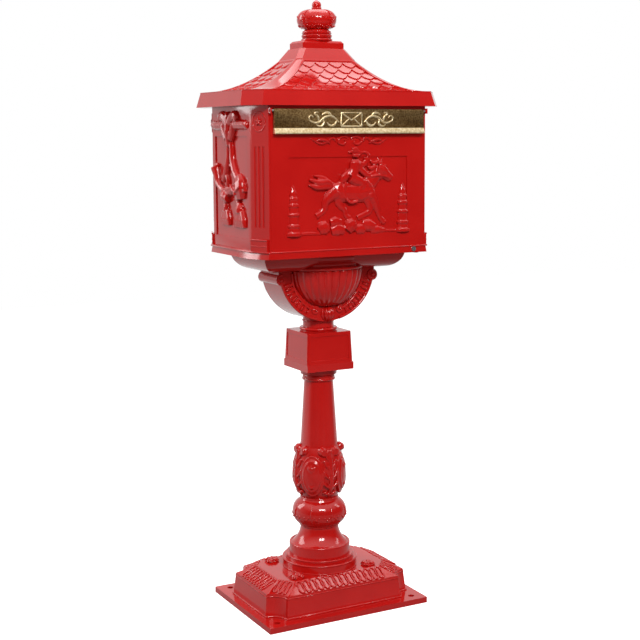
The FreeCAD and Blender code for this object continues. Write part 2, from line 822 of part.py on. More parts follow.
def arm_ribs():
    """Cross ribs spaced round the scroll arms, on the front and the back."""
    ribs = []
    middle = at.basin_radius - at.arm_width / 2
    first, last = math.radians(20), math.radians(64)
    count = int(at.arm_rib_count)
    for i in range(count):
        angle = first + (last - first) * i / (count - 1)
        for side in (1, -1):
            for face in (1, -1):
                reach = at.basin_depth / 2 + at.arm_relief
                rib = Part.makeBox(at.arm_width - 2 * at.edge_break, at.arm_rib_width, at.arm_relief)
                rib.translate(Vector(at.edge_break - at.arm_width / 2, -at.arm_rib_width / 2,
                                     -at.arm_relief / 2))
                rib.rotate(Vector(), Vector(1, 0, 0), 90)
                rib.rotate(Vector(), Vector(0, 1, 0), side * math.degrees(angle))
                rib.translate(Vector(side * middle * math.cos(angle), face * reach,
                                     at.basin_level - middle * math.sin(angle)))
                ribs.append(rib)
    return ribs


def half_bowls():
    """Gadrooned half bowls that swell out of the front and back of the basin, with rings above."""
    pieces = []
    for side in (1, -1):
        level = at.tray_foot - at.half_bowl_drop
        drops = [at.half_bowl_height * share for share in (0, 0.35, 0.65, 0.85, 0.97)]
        pieces.append(loft(f"half_bowl_{side + 1}", [lobed_wire(side, level, drop) for drop in drops]))
        pieces += bowl_rings(side)
    return pieces


def lobed_wire(side, level, drop):
    """Outline of a half bowl at a drop below its rim, a half ellipse broken into convex lobes."""
    scale = math.sqrt(1 - (drop / at.half_bowl_height) ** 2)
    count = int(at.bowl_lobe_count)
    face = at.basin_depth / 2
    root = face - at.arm_relief

    def spot(turn, swell):
        out_x = (at.half_bowl_radius * swell - at.bowl_lobe_depth) * scale
        out_y = (at.half_bowl_bulge * swell - at.bowl_lobe_depth) * scale
        return Vector(-out_x * math.cos(turn), side * (face + out_y * math.sin(turn)), level - drop)

    swell = 1 + at.bowl_lobe_depth / at.half_bowl_bulge
    cusps = [spot(math.pi * i / count, 1) for i in range(count + 1)]
    crowns = [spot(math.pi * (i + 0.5) / count, swell) for i in range(count)]
    edges = [Part.Arc(a, crown, b).toShape() for a, crown, b in zip(cusps, crowns, cusps[1:])]
    corners = [cusps[-1], Vector(cusps[-1].x, side * root, level - drop),
               Vector(cusps[0].x, side * root, level - drop), cusps[0]]
    edges += [Part.makeLine(a, b) for a, b in zip(corners, corners[1:])]
    return Part.Wire(edges)


def bowl_rings(side):
    """Three lipped rings between a half bowl and the moulding."""
    rings = []
    height = (at.half_bowl_drop + at.edge_break) / 3
    level = at.tray_foot - at.half_bowl_drop - at.edge_break
    for i, lip in enumerate((0.25, 0.75, 1.5)):
        long_half = at.half_bowl_radius + at.bowl_ring_lip * lip
        short_half = at.half_bowl_bulge + at.bowl_ring_lip * lip
        centre = Vector(0, side * at.basin_depth / 2, level + height * i)
        edge = Part.Ellipse(centre, long_half, short_half).toShape()
        disc = Part.Face(Part.Wire([edge])).extrude(Vector(0, 0, height))
        rings.append(formed(f"bowl_ring_{side + 1}_{i}", disc))
    return rings


# Letter box

def floor_tray():
    slab = loft("tray_slab", [
        cornered_wire(at.tray_length / 2 - draft, at.tray_width / 2, at.tray_cut_x, at.tray_cut_y, level)
        for draft, level in ((0, at.tray_foot), (at.tray_draft, at.box_foot))])
    well = outline_body("tray_well", "XY_Plane", "tray_foot + tray_floor",
                        octagon_corners("box_length / 2 - wall_thick - ledge",
                                        "box_width / 2 - wall_thick - ledge",
                                        "corner_cut_x + ledge", "corner_cut_y + ledge"), "tray_thick")
    holes = [cylinder("tray_rod_hole", "rod_radius + rod_clearance", "tray_thick", ("0", "0", "tray_foot"))]
    for i, spot in enumerate(bowl_screw_spots()):
        holes.append(cylinder(f"tray_bowl_hole_{i}", "screw_radius + running_gap", "tray_thick",
                              (*spot, "tray_foot")))
    for i, (side_x, side_y) in enumerate(CORNERS):
        holes.append(cylinder(f"tray_screw_hole_{i}", "screw_radius + running_gap", "tray_thick",
                              (f"{side_x} * lug_x", f"{side_y} * lug_y", "tray_foot")))
    holes.append(cylinder("rim_screw_hole", "screw_radius + running_gap", "screw_bite + ledge",
                          ("rim_screw_offset", "-tray_width / 2", "tray_foot + tray_thick / 2"),
                          Vector(0, 1, 0)))
    named("floor_tray", cut("floor_tray", slab, [well, *holes]))


def side_casting(name, side):
    """Side wall with a corner pilaster at each end, flanges for the panels, lugs and trophy relief."""
    x_half = "(box_length / 2)"
    y_half = "(box_width / 2)"
    flange_y = f"({y_half} - wall_thick - flange_thick)"
    half = [
        ("panel_half", y_half),
        (f"{x_half} - corner_cut_x", y_half),
        (x_half, f"{y_half} - corner_cut_y"),
        (f"{x_half} - wall_thick",
         f"{y_half} - corner_cut_y - wall_thick * (pilaster_width - corner_cut_y) / corner_cut_x"),
        (f"{x_half} - corner_cut_x + (corner_cut_x * (wall_thick + flange_thick)"
         " - wall_thick * pilaster_width) / corner_cut_y", flange_y),
        ("panel_half - flange_width", flange_y),
        ("panel_half - flange_width", f"{y_half} - wall_thick"),
        ("panel_half", f"{y_half} - wall_thick"),
    ]
    outer, inner = half[:3], half[3:]
    ring = ([(x, f"-({y})") for x, y in outer] + [(x, y) for x, y in reversed(outer)]
            + [(x, y) for x, y in reversed(inner)] + [(x, f"-({y})") for x, y in inner])
    wall = outline_body(f"{name}_wall", "XY_Plane", "box_foot",
                        [(f"{side} * ({x})", y) for x, y in ring], "box_height")
    sink = centred_box(f"{name}_sink", (
        "2 * panel_sink", "box_width - 2 * corner_cut_y - 2 * side_panel_margin", "side_panel_height"),
        (f"{side} * {x_half}", "0", "box_foot + side_panel_foot"))
    added = []
    removed = [sink]
    for end in (1, -1):
        added += pilaster_trim(f"{name}_{end + 1}", side, end)
        removed += pilaster_flutes(f"{name}_{end + 1}", side, end)
        for k, foot in enumerate(("box_foot", "eave_foot - lug_height")):
            spot = (f"{side} * lug_x", f"{end} * lug_y", foot)
            added.append(cylinder(f"{name}_lug_{end + 1}_{k}", "lug_radius", "lug_height", spot))
            removed.append(cylinder(f"{name}_lug_hole_{end + 1}_{k}", "screw_radius + running_gap",
                                    "lug_height", spot))
        for k, level in enumerate(PANEL_SCREW_LEVELS):
            removed.append(cylinder(
                f"{name}_panel_hole_{end + 1}_{k}", "screw_radius + running_gap", "wall_thick + flange_thick",
                (f"{side} * panel_screw_x", f"{end} * {flange_y}", level), Vector(0, end, 0)))
    ear_foot = "flap_axis_level - ear_height / 2"
    ear_start = "panel_half" if side > 0 else "-panel_half - front_return"
    added.append(box(f"{name}_ear", ("front_return", "ear_reach + wall_thick", "ear_height"),
                     (ear_start, f"-{y_half} - ear_reach", ear_foot)))
    removed.append(cylinder(f"{name}_pin_hole", "flap_pin_radius + running_gap", "2 * front_return",
                            (f"{side} * panel_half - front_return", "-flap_axis_y", "flap_axis_level"),
                            Vector(1, 0, 0)))
    relief = formed(f"{name}_trophy", trophy_relief(side))
    carved = cut(f"{name}_carved", joined(f"{name}_solid", [wall, *added]), removed)
    named(name, joined(name, [carved, relief]))


LEVELS["panel_screw_x"] = "panel_half - flange_width / 2"
PANEL_SCREW_LEVELS = ("box_foot + 2 * lug_height", "eave_foot - 4 * lug_height")


def pilaster_frame(side, end):
    """Middle of a corner face in plan, as formulas, and the direction that it faces."""
    spot = (f"{side} * (box_length / 2 - corner_cut_x / 2)", f"{end} * (box_width / 2 - corner_cut_y / 2)")
    return spot, Vector(side * at.corner_cut_y, end * at.corner_cut_x, 0).normalize()


def pilaster_trim(name, side, end):
    """Oval boss at the top and plain base block at the foot of a pilaster."""
    (x, y), outward = pilaster_frame(side, end)
    turn = Rotation(Vector(0, -1, 0), outward)
    oval = petal_boss(f"{name}_oval", Vector(value(x), value(y), at.eave_foot - at.oval_drop), outward,
                      at.oval_width / 2, at.oval_height / 2, at.oval_petals, at.oval_relief)
    width = "pilaster_width - 2 * edge_break"
    block = doc.addObject("Part::Box", f"{name}_base")
    bind(block, ("Length", "Width", "Height"), (width, "2 * pilaster_base_relief", "pilaster_base_height"))
    along = turn.multVec(Vector(1, 0, 0))
    shift = [f" - ({part}) * ({width}) / 2 - ({face}) * pilaster_base_relief"
             for part, face in ((along.x, -outward.x), (along.y, -outward.y))]
    depth = [f" - ({2 * face}) * pilaster_base_relief * 0.5" for face in (-outward.x, -outward.y)]
    place(block, (x + shift[0] + depth[0], y + shift[1] + depth[1], "box_foot"), turn)
    return [oval, block]


def pilaster_flutes(name, side, end):
    """Three round flutes down a pilaster."""
    (x, y), outward = pilaster_frame(side, end)
    along = UP.cross(outward)
    flutes = []
    for k in (-1, 0, 1):
        spot = [f"{centre} + ({k * part}) * flute_pitch + ({face}) * flute_radius / 2"
                for centre, part, face in ((x, along.x, outward.x), (y, along.y, outward.y))]
        flutes.append(cylinder(f"{name}_flute_{k + 1}", "flute_radius", "flute_height",
                               (*spot, "box_foot + flute_foot")))
    return flutes


def trophy_relief(side):
    """Hanging ribbon, cords, satchel, horn and tassels, raised from the side's sunk panel."""
    tall = at.relief_height
    low = tall * 0.7
    knot = (4, 170)
    bow = (5, 208)
    tassel_back, tassel_front = (21, 56), (-41, 59)
    limbs = [
        ((92, 203), (-88, 203), 6, 6, low),
        ((28, 212), (-18, 212), 10, 10, tall),
        (bow, knot, 13, 8, tall),
        (knot, (23, 108), 4, 5, low),
        (knot, (-33, 112), 4, 5, low),
        ((-48, 100), (-56, 80), 18, 20, tall),
        ((62, 113), (55, 87), 7, 6, low),
        ((55, 87), (-8, 85), 6, 5, low),
        ((20, 78), (10, 74), 12, 12, tall),
        (tassel_back, (21, 25), 6, 9, low),
        (tassel_front, (-41, 27), 6, 10, low),
        ((20, 78), tassel_back, 6, 5, low),
        ((-33, 80), tassel_front, 6, 5, low),
    ]
    squeeze = at.trophy_squeeze
    relief = ornament([((u * squeeze, v), (w * squeeze, z), *rest) for (u, v), (w, z), *rest in limbs])
    floor = at.box_length / 2 - at.panel_sink
    turn = Rotation(Vector(0, side, 0), UP, Vector(side, 0, 0), "XYZ")
    relief.Placement = Placement(Vector(side * (floor - 0.5), 0, at.box_foot + at.side_panel_foot), turn)
    if side < 0:
        relief = relief.mirror(Vector(), Vector(0, 1, 0))
    return relief


def front_panel():
    half = "(panel_half - seam)"
    slab = outline_body("front_slab", "XZ_Plane", "box_width / 2 - wall_thick",
                        rectangle_corners(f"-{half}", half, "box_foot", "eave_foot"), "wall_thick")
    sink = centred_box("front_sink", (
        "2 * panel_half - 2 * front_panel_margin",
        "2 * panel_sink", "front_panel_height"),
                       ("0", "-box_width / 2", "box_foot + front_panel_foot"))
    slot = centred_box("front_slot", ("2 * panel_half - 2 * slot_margin", "4 * wall_thick", "slot_height"),
                       ("0", "-box_width / 2", "eave_foot - slot_drop - slot_height"))
    holes = panel_screw_holes("front", -1)
    carved = cut("front_carved", slab, [sink, slot, *holes])
    relief = formed("front_relief", rider_relief())
    named("front_panel", joined("front_panel", [carved, relief]))


def panel_screw_holes(name, end):
    """Blind holes in the back of a panel for the screws through the side flanges."""
    return [cylinder(f"{name}_screw_hole_{side + 1}_{k}", "screw_radius + running_gap",
                     "screw_bite - flange_thick",
                     (f"{side} * panel_screw_x", f"{end} * (box_width / 2 - wall_thick)", level),
                     Vector(0, end, 0))
            for side in (1, -1) for k, level in enumerate(PANEL_SCREW_LEVELS)]


def rider_relief():
    """Galloping horse and rider over rocks between two small towers, with a flourish above."""
    tall = at.relief_height
    low = tall * 0.6
    high = tall * 1.3
    rump, chest = (-22, 76), (38, 75)
    neck, poll, muzzle = (44, 88), (62, 116), (84, 101)
    hip, knee, foot = (6, 104), (24, 90), (13, 72)
    waist, shoulder, head = (8, 112), (11, 128), (10, 141)
    elbow, hand, bell = (26, 125), (35, 131), (42, 139)
    limbs = [
        (rump, chest, 17, 15, tall),
        (chest, neck, 14, 11, tall),
        (neck, poll, 12, 7, tall),
        (poll, muzzle, 9, 5, tall),
        ((-28, 90), (-55, 92), 5, 9, low),
        ((-55, 92), (-78, 97), 9, 3, low),
        ((-32, 72), (-46, 64), 9, 5, tall),
        ((-46, 64), (-50, 48), 5, 3.5, tall),
        ((-50, 48), (-65, 35), 3.5, 4, tall),
        ((-18, 66), (-22, 57), 9, 5, low),
        ((-22, 57), (-9, 43), 4.5, 3, low),
        ((-9, 43), (-5, 29), 3, 4, low),
        ((34, 64), (42, 38), 7, 4, low),
        ((42, 38), (16, 28), 4, 4, low),
        ((44, 66), (58, 38), 8, 4, tall),
        ((58, 38), (67, 18), 3.5, 4, tall),
        (hip, knee, 9, 6, high),
        (knee, foot, 6, 4, high),
        (hip, waist, 9, 7, high),
        (waist, shoulder, 7, 9, high),
        (shoulder, head, 6, 6.5, high),
        ((1, 144), (20, 146), 3, 3, high),
        ((4, 149), (15, 151), 4, 3, high),
        (shoulder, elbow, 5, 4, high),
        (elbow, hand, 4, 3, high),
        (hand, bell, 2.5, 4.5, high),
        (shoulder, (37, 98), 5, 4, tall),
        ((-58, 13), (-40, 15), 12, 11, low),
        ((-18, 13), (4, 12), 13, 12, low),
        ((26, 10), (46, 9), 11, 9, low),
        ((56, 7), (68, 5), 7, 5, low),
        ((-118, 2), (-50, 2), 2.5, 2.5, low),
        ((60, 2), (118, 2), 2.5, 2.5, low),
    ]
    for side in (1, -1):
        tower = side * 114
        limbs += [
            ((tower - 8, 3), (tower + 8, 3), 5, 5, tall),
            ((tower, 6), (tower, 50), 8, 7, low),
            ((tower - 4, 34), (tower + 4, 34), 6, 6, tall),
            ((tower - 3, 53), (tower + 3, 53), 5.5, 5.5, tall),
            ((tower, 54), (tower, 84), 6, 1.5, low),
            ((side * 10, 167), (side * 24, 165), 5, 6, low / 2),
            ((side * 28, 163), (side * 48, 172), 2.5, 2, low / 2),
            ((side * 48, 172), (side * 68, 166), 2, 5, low / 2),
        ]
    relief = ornament(limbs)
    turn = Rotation(Vector(1, 0, 0), UP, Vector(0, -1, 0), "XYZ")
    floor = at.box_width / 2 - at.panel_sink - 0.5
    relief.Placement = Placement(Vector(0, -floor, at.box_foot + at.front_panel_foot), turn)
    return relief


def back_panel():
    half = "(panel_half - seam)"
    slab = outline_body("back_slab", "XZ_Plane", "-box_width / 2",
                        rectangle_corners(f"-{half}", half, "box_foot", "eave_foot"), "wall_thick")
    opening = centred_box("back_opening", ("door_opening_length", "4 * wall_thick", "door_opening_height"),
                          ("0", "box_width / 2", "box_foot + door_opening_foot"))
    lugs = []
    for k, foot in enumerate((f"{DOOR_BARREL_FOOT} - door_lug_height - door_gap",
                              f"{DOOR_BARREL_FOOT} + door_barrel_length + door_gap")):
        lugs.append(centred_box(f"door_lug_{k}", (
            "2 * door_barrel_radius", "2 * (door_axis_y - box_width / 2) + 2 * panel_sink",
            "door_lug_height"),
            ("door_hinge_offset", "door_axis_y - panel_sink", foot)))
    pin_hole = cylinder("door_pin_hole", "door_pin_radius + running_gap", "box_height",
                        ("door_hinge_offset", "door_axis_y", "box_foot"))
    plain = joined("back_plain", [slab, *lugs])
    named("back_panel", cut("back_panel", plain, [opening, pin_hole, *panel_screw_holes("back", 1)]))


DOOR_BARREL_FOOT = "(box_foot + door_opening_foot + (door_opening_height - door_barrel_length) / 2)"


# Collecting door with its cam lock

def back_door():
    foot = "(box_foot + door_opening_foot - door_overlap)"
    tall = "(door_opening_height + 2 * door_overlap)"
    left = "(-door_opening_length / 2 - door_overlap)"
    right = "(door_hinge_offset - door_hinge_clear)"
    inner = "(box_width / 2 + door_gap)"
    plate = box("door_plate", (f"{right} - {left}", "door_thick", tall), (left, inner, foot))
    leaf = box("door_leaf", ("2 * door_hinge_clear", "door_thick", "door_barrel_length"),
               ("door_hinge_offset - 2 * door_hinge_clear", inner, DOOR_BARREL_FOOT))
    barrel = cylinder("door_barrel", "door_barrel_radius", "door_barrel_length",
                      ("door_hinge_offset", "door_axis_y", DOOR_BARREL_FOOT))
    rims = []
    for k, margin in enumerate(("door_moulding_margin", "door_moulding_margin + door_moulding_width")):
        rims.append(box(f"door_rim_{k}", (
            f"{right} - {left} - 2 * ({margin})", "door_moulding_relief * 2", f"{tall} - 2 * ({margin})"),
            (f"{left} + {margin}", "door_face - door_moulding_relief", f"{foot} + {margin}")))
    moulding = cut("door_moulding", rims[0], [rims[1]])
    lock_hole = cylinder("door_lock_hole", "lock_body_radius + running_gap", "4 * door_thick",
                         ("-lock_offset", "door_face - 2 * door_thick", "lock_height"), Vector(0, 1, 0))
    pin_hole = cylinder("door_barrel_hole", "door_pin_radius + running_gap", "door_barrel_length",
                        ("door_hinge_offset", "door_axis_y", DOOR_BARREL_FOOT))
    named("back_door", cut("back_door", joined("door_solid", [plate, leaf, barrel, moulding]),
                           [lock_hole, pin_hole]))
    lugs_over = f"({DOOR_BARREL_FOOT} - door_lug_height - door_gap)"
    named("door_pin", cylinder("door_pin", "door_pin_radius",
                               "door_barrel_length + 2 * door_lug_height + 2 * door_gap",
                               ("door_hinge_offset", "door_axis_y", lugs_over)))


def cam_lock():
    inward = Vector(0, -1, 0)
    face = ("-lock_offset", "door_face", "lock_height")
    head_face = ("-lock_offset", "door_face + lock_head_thick", "lock_height")
    shell = joined("lock_shell", [
        cylinder("lock_head", "lock_head_radius", "lock_head_thick", head_face, inward),
        cylinder("lock_body", "lock_body_radius", "lock_body_length", face, inward)])
    bore = cylinder("lock_bore", "plug_radius + running_gap", "lock_body_length + lock_head_thick",
                    head_face, inward)
    named("lock_barrel", cut("lock_barrel", shell, [bore]))
    nut_face = ("-lock_offset", "door_face - door_thick", "lock_height")
    nut_hole = cylinder("lock_nut_hole", "lock_body_radius + running_gap", "lock_nut_thick", nut_face, inward)
    named("lock_nut", cut("lock_nut", hexagon("lock_nut_hex", "lock_nut_radius", "lock_nut_thick",
                                              nut_face, inward), [nut_hole]))
    plug = cylinder("plug_round", "plug_radius", "lock_body_length + lock_head_thick + cam_gap",
                    head_face, inward)
    keyway = centred_box("keyway", ("keyway_width", "2 * lock_head_thick", "keyway_height"),
                         ("-lock_offset", "door_face + lock_head_thick", "lock_height - keyway_height / 2"))
    cam_face = ("-lock_offset", "cam_back + cam_thick", "lock_height")
    thread = cylinder("plug_thread", "cam_screw_radius + running_gap", "cam_screw_length",
                      ("-lock_offset", "cam_back", "lock_height"), Vector(0, 1, 0))
    named("lock_plug", cut("lock_plug", plug, [keyway, thread]))
    cam_arm = box("cam_arm", ("cam_width", "cam_thick", "cam_length"),
                  ("-lock_offset - cam_width / 2", "cam_back", "lock_height - cam_length"))
    cam_eye = cylinder("cam_eye", "cam_width / 2", "cam_thick", cam_face, inward)
    cam_hole = cylinder("cam_hole", "cam_screw_radius + running_gap", "cam_thick", cam_face, inward)
    named("lock_cam", cut("lock_cam", joined("cam_solid", [cam_arm, cam_eye]), [cam_hole]))
    named("cam_screw", pan_screw("cam_screw", ("-lock_offset", "cam_back", "lock_height"), Vector(0, 1, 0),
                                 "cam_screw_length", "cam_screw"))


# Mail flap

def mail_flap():
    front = "(box_width / 2 + flap_stand)"
    foot = "(eave_foot - flap_drop)"
    face = f"-{front}"
    back = f"(-{front} + flap_thick)"
    lip_top = f"({foot} + flap_lip_height)"
    section = [
        (back, foot),
        (f"{face} - flap_lip", foot),
        (f"{face} - flap_lip", f"{foot} + flap_lip_edge"),
        (face, lip_top),
        (face, "flap_axis_level + flap_pin_radius"),
        (back, "flap_axis_level + flap_pin_radius"),
    ]
    plate = outline_body("flap_plate", "YZ_Plane", "-flap_length / 2", section, "flap_length")
    axis = ("-flap_length / 2", "-flap_axis_y", "flap_axis_level")
    barrel = cylinder("flap_barrel", "flap_barrel_radius", "flap_length", axis, Vector(1, 0, 0))
    bore = cylinder("flap_bore", "flap_pin_radius + running_gap", "flap_length", axis, Vector(1, 0, 0))
    badge_level = f"(({lip_top} + flap_axis_level) / 2)"
    badge = centred_box("flap_badge", ("flap_badge_length", "2 * flap_badge_relief", "flap_badge_height"),
                        ("0", face, f"{badge_level} - flap_badge_height / 2"))
    leaves = formed("flap_leaves", flap_leaves())
    named("mail_flap", cut("mail_flap", joined("flap_solid", [plate, barrel, badge, leaves]), [bore]))
    named("flap_pin", cylinder("flap_pin", "flap_pin_radius", "2 * panel_half + front_return",
                               ("-panel_half - front_return / 2", "-flap_axis_y", "flap_axis_level"),
                               Vector(1, 0, 0)))


def flap_leaves():
    """Leaf scrolls on both sides of the flap's plain envelope badge."""
    limbs = []
    for side in (1, -1):
        limbs += [
            ((side * 28, 0), (side * 52, 5), 2, 4.5, 2 * at.flap_badge_relief),
            ((side * 52, 5), (side * 78, -4), 4.5, 2, 2 * at.flap_badge_relief),
        ]
    relief = Part.makeCompound([ornament(limbs[:2]), ornament(limbs[2:])])
    lip_top = at.eave_foot - at.flap_drop + at.flap_lip_height
    level = (lip_top + at.flap_axis_level) / 2
    turn = Rotation(Vector(1, 0, 0), UP, Vector(0, -1, 0), "XYZ")
    face = -at.box_width / 2 - at.flap_stand
    relief.Placement = Placement(Vector(0, face + at.flap_badge_relief, level), turn)
    return relief


# Roof and finial

def roof_outline(share, inset=0, drop=0):
    """Half sizes, corner cuts and level of the roof, share 0 at the neck, 1 at the eave."""
    eave_x = at.box_length / 2 + at.eave_overhang_x - at.eave_flare
    eave_y = at.box_width / 2 + at.eave_overhang_y - at.eave_flare
    half_x = at.roof_neck_length / 2 + (eave_x - at.roof_neck_length / 2) * share - inset
    half_y = at.roof_neck_width / 2 + (eave_y - at.roof_neck_width / 2) * share - inset
    cut_x = at.roof_neck_cut + (at.eave_cut_x - at.roof_neck_cut) * share
    cut_y = at.roof_neck_cut + (at.eave_cut_y - at.roof_neck_cut) * share
    level = at.roof_neck_foot - at.roof_rise * (1 - (1 - share) ** 2) - drop
    return half_x, half_y, cut_x, cut_y, level


def roof_wire(share, inset=0, drop=0):
    return cornered_wire(*roof_outline(share, inset, drop))


def roof_casting():
    rows = int(at.scale_rows)
    shares = [1 - i / rows for i in range(rows + 1)]
    eave = cornered_wire(at.box_length / 2 + at.eave_overhang_x, at.box_width / 2 + at.eave_overhang_y,
                         at.eave_cut_x, at.eave_cut_y, at.eave_foot)
    neck_top = cornered_wire((at.roof_neck_length / 2 - at.roof_neck_taper),
                             (at.roof_neck_width / 2 - at.roof_neck_taper),
                             at.roof_neck_cut, at.roof_neck_cut, at.cap_foot)
    shell = loft("roof_shell", [eave, *[roof_wire(share) for share in shares], neck_top])
    opening_x = at.box_length / 2 - at.wall_thick - at.ledge
    opening_y = at.box_width / 2 - at.wall_thick - at.ledge
    cut_x = at.corner_cut_x + at.ledge
    cut_y = at.corner_cut_y + at.ledge
    hollow_eave = at.eave_top - at.roof_wall
    hollow = loft("roof_hollow", [
        cornered_wire(opening_x, opening_y, cut_x, cut_y, at.eave_foot - at.roof_wall),
        cornered_wire(opening_x, opening_y, cut_x, cut_y, hollow_eave),
        *[hollow_wire(share, opening_x, opening_y, hollow_eave) for share in (0.5, 0)],
    ])
    cap = centred_box("roof_cap", ("cap_length", "cap_width", "cap_height"), ("0", "0", "cap_foot"))
    loft_room = centred_box("cap_room", ("cap_length - 2 * cap_wall", "cap_width - 2 * cap_wall",
                                         "cap_top - cap_wall - roof_neck_foot + 2 * roof_wall"),
                            ("0", "0", "roof_neck_foot - 2 * roof_wall"))
    stud_hole = cylinder("cap_stud_hole", "finial_stud_radius + running_gap", "2 * cap_height",
                         ("0", "0", "cap_top - cap_height"))
    holes = [cylinder(f"roof_screw_hole_{i}", "screw_radius + running_gap", "screw_bite",
                      (f"{side_x} * lug_x", f"{side_y} * lug_y", "eave_foot"))
             for i, (side_x, side_y) in enumerate(CORNERS)]
    scales = [formed(f"scale_row_{turn}_{row}", scale_row(turn, row, rows))
              for turn in QUARTERS for row in range(rows)]
    solid = joined("roof_solid", [shell, cap, *scales])
    named("roof_casting", cut("roof_casting", solid, [hollow, loft_room, stud_hole, *holes]))


def hollow_wire(share, opening_x, opening_y, eave_level):
    """Outline of the hollow under the roof, a wall inside its outer face."""
    neck_x = at.roof_neck_length / 2 - at.roof_wall
    neck_y = at.roof_neck_width / 2 - at.roof_wall
    rise = at.roof_neck_foot - at.roof_wall - eave_level
    level = eave_level + rise * (1 - share) ** 2
    cut_x = at.roof_neck_cut + (at.corner_cut_x + at.ledge - at.roof_neck_cut) * share
    cut_y = at.roof_neck_cut + (at.corner_cut_y + at.ledge - at.roof_neck_cut) * share
    return cornered_wire(neck_x + (opening_x - neck_x) * share, neck_y + (opening_y - neck_y) * share,
                         cut_x, cut_y, level)


def scale_row(turn, row, rows):
    """Strip of roof scales with a scalloped lower edge, lifted off the roof at its foot."""
    top_x, top_y, top_cut, top_cut_y, top_level = roof_outline(row / rows)
    foot_x, foot_y, foot_cut, foot_cut_y, foot_level = roof_outline((row + 1) / rows)
    if turn in (90, 270):
        top_x, top_y, top_cut = top_y, top_x, top_cut_y
        foot_x, foot_y, foot_cut = foot_y, foot_x, foot_cut_y
    margin = at.edge_break
    top_half = top_x - top_cut - margin
    foot_half = foot_x - foot_cut - margin
    run = foot_y - top_y
    fall = top_level - foot_level
    length = math.hypot(run, fall)
    count = max(2, round(2 * foot_half / at.scale_width))
    width = 2 * foot_half / count
    cusp = length - width / 4
    cusp_half = top_half + (foot_half - top_half) * cusp / length
    width = 2 * cusp_half / count
    cusps = [Vector(-cusp_half + width * i, -cusp, 0) for i in range(count + 1)]
    edges = [Part.makeLine(Vector(top_half, 0, 0), Vector(-top_half, 0, 0)),
             Part.makeLine(Vector(-top_half, 0, 0), cusps[0])]
    for left, right in zip(cusps, cusps[1:]):
        tip = Vector((left.x + right.x) / 2, -length, 0)
        edges.append(Part.Arc(left, tip, right).toShape())
    edges.append(Part.makeLine(cusps[-1], Vector(top_half, 0, 0)))
    strip = Part.Face(Part.Wire(edges)).extrude(UP * 2 * at.scale_lift)
    strip.translate(Vector(0, 0, -2 * at.scale_lift - margin / 10))
    lean = math.degrees(math.atan2(fall, run) - math.atan2(at.scale_lift, length))
    strip.rotate(Vector(), Vector(1, 0, 0), lean)
    strip.translate(Vector(0, -top_y, top_level))
    strip.rotate(Vector(), UP, turn)
    return strip


def finial():
    ease = at.edge_break
    foot = at.cap_top
    collar = at.finial_foot_radius
    ring_top = foot + at.finial_foot_height
    bulb_top = ring_top + at.finial_bulb_height
    knob = at.finial_knob_radius
    tip = foot + at.finial_height
    neck_rise = at.finial_foot_height / 6
    knob_rise = (tip - bulb_top) / 6

    def spot(radius, level):
        return Vector(radius, 0, level)

    rings = [spot(collar - ease * (i % 2), foot + neck_rise * i) for i in range(6)]
    bulb_foot = spot(collar - 2 * ease, ring_top)
    bulb_end = spot(knob + ease, bulb_top)
    swell = Part.Arc(bulb_foot, spot(at.finial_bulb_radius, (ring_top + bulb_top) / 2), bulb_end)
    knob_spots = [bulb_end] + [spot(knob * share, bulb_top + knob_rise * step) for share, step in (
        (0.85, 0), (1, 1), (0.75, 1.6), (0.9, 2.6), (0.7, 4), (0.25, 6))]
    path = [spot(0, foot), *rings, bulb_foot]
    edges = [Part.makeLine(a, b) for a, b in zip(path, path[1:])]
    edges.append(swell.toShape())
    path = [*knob_spots, spot(0, tip), spot(0, foot)]
    edges += [Part.makeLine(a, b) for a, b in zip(path, path[1:])]
    turned = revolved("finial_turned", edges)
    bands = [formed(f"crown_band_{k}", crown_band(swell, k * 90 + at.crown_band_turn)) for k in (0, 1)]
    stud_hole = cylinder("finial_stud_hole", "finial_stud_radius + running_gap", "finial_stud_depth",
                         ("0", "0", "cap_top"))
    named("finial", cut("finial", joined("finial_whole", [turned, *bands]), [stud_hole]))
    stud_foot = "(cap_top - cap_wall - rod_nut_thick)"
    named("finial_stud", cylinder("finial_stud", "finial_stud_radius",
                                  f"cap_top + finial_stud_depth - edge_break - {stud_foot}",
                                  ("0", "0", stud_foot)))
    nut = hexagon("finial_nut_hex", "2 * finial_stud_radius", "2 * finial_stud_radius",
                  ("0", "0", "cap_top - cap_wall - 2 * finial_stud_radius"))
    thread = cylinder("finial_nut_thread", "finial_stud_radius + running_gap", "2 * finial_stud_radius",
                      ("0", "0", "cap_top - cap_wall - 2 * finial_stud_radius"))
    named("finial_nut", cut("finial_nut", nut, [thread]))


def crown_band(swell, turn):
    """Upright hoop that stands out of the finial's bulb on both sides."""
    relief = at.crown_band_relief
    first, middle, last = [point + Vector(relief, 0, 0) for point in (
        swell.StartPoint, swell.value((swell.FirstParameter + swell.LastParameter) / 2), swell.EndPoint)]
    flip = [Vector(-point.x, 0, point.z) for point in (first, middle, last)]
    edges = [Part.Arc(first, middle, last).toShape(), Part.makeLine(last, flip[2]),
             Part.Arc(flip[2], flip[1], flip[0]).toShape(), Part.makeLine(flip[0], first)]
    hoop = Part.Face(Part.Wire(edges)).extrude(Vector(0, at.crown_band_width, 0))
    hoop.translate(Vector(0, -at.crown_band_width / 2, 0))
    hoop.rotate(Vector(), UP, turn)
    return hoop


# Fasteners

def pan_screw(name, seat, along, length, family="screw"):
    """Screw with a round head, seat is the point under the head and along is where the shank goes."""
    shank = cylinder(f"{name}_shank", f"{family}_radius", length, seat, along)
    head = cylinder(f"{name}_head", f"{family}_head_radius", f"{family}_head_thick", seat, along * -1)
    return joined(f"{name}_whole", [shank, head])


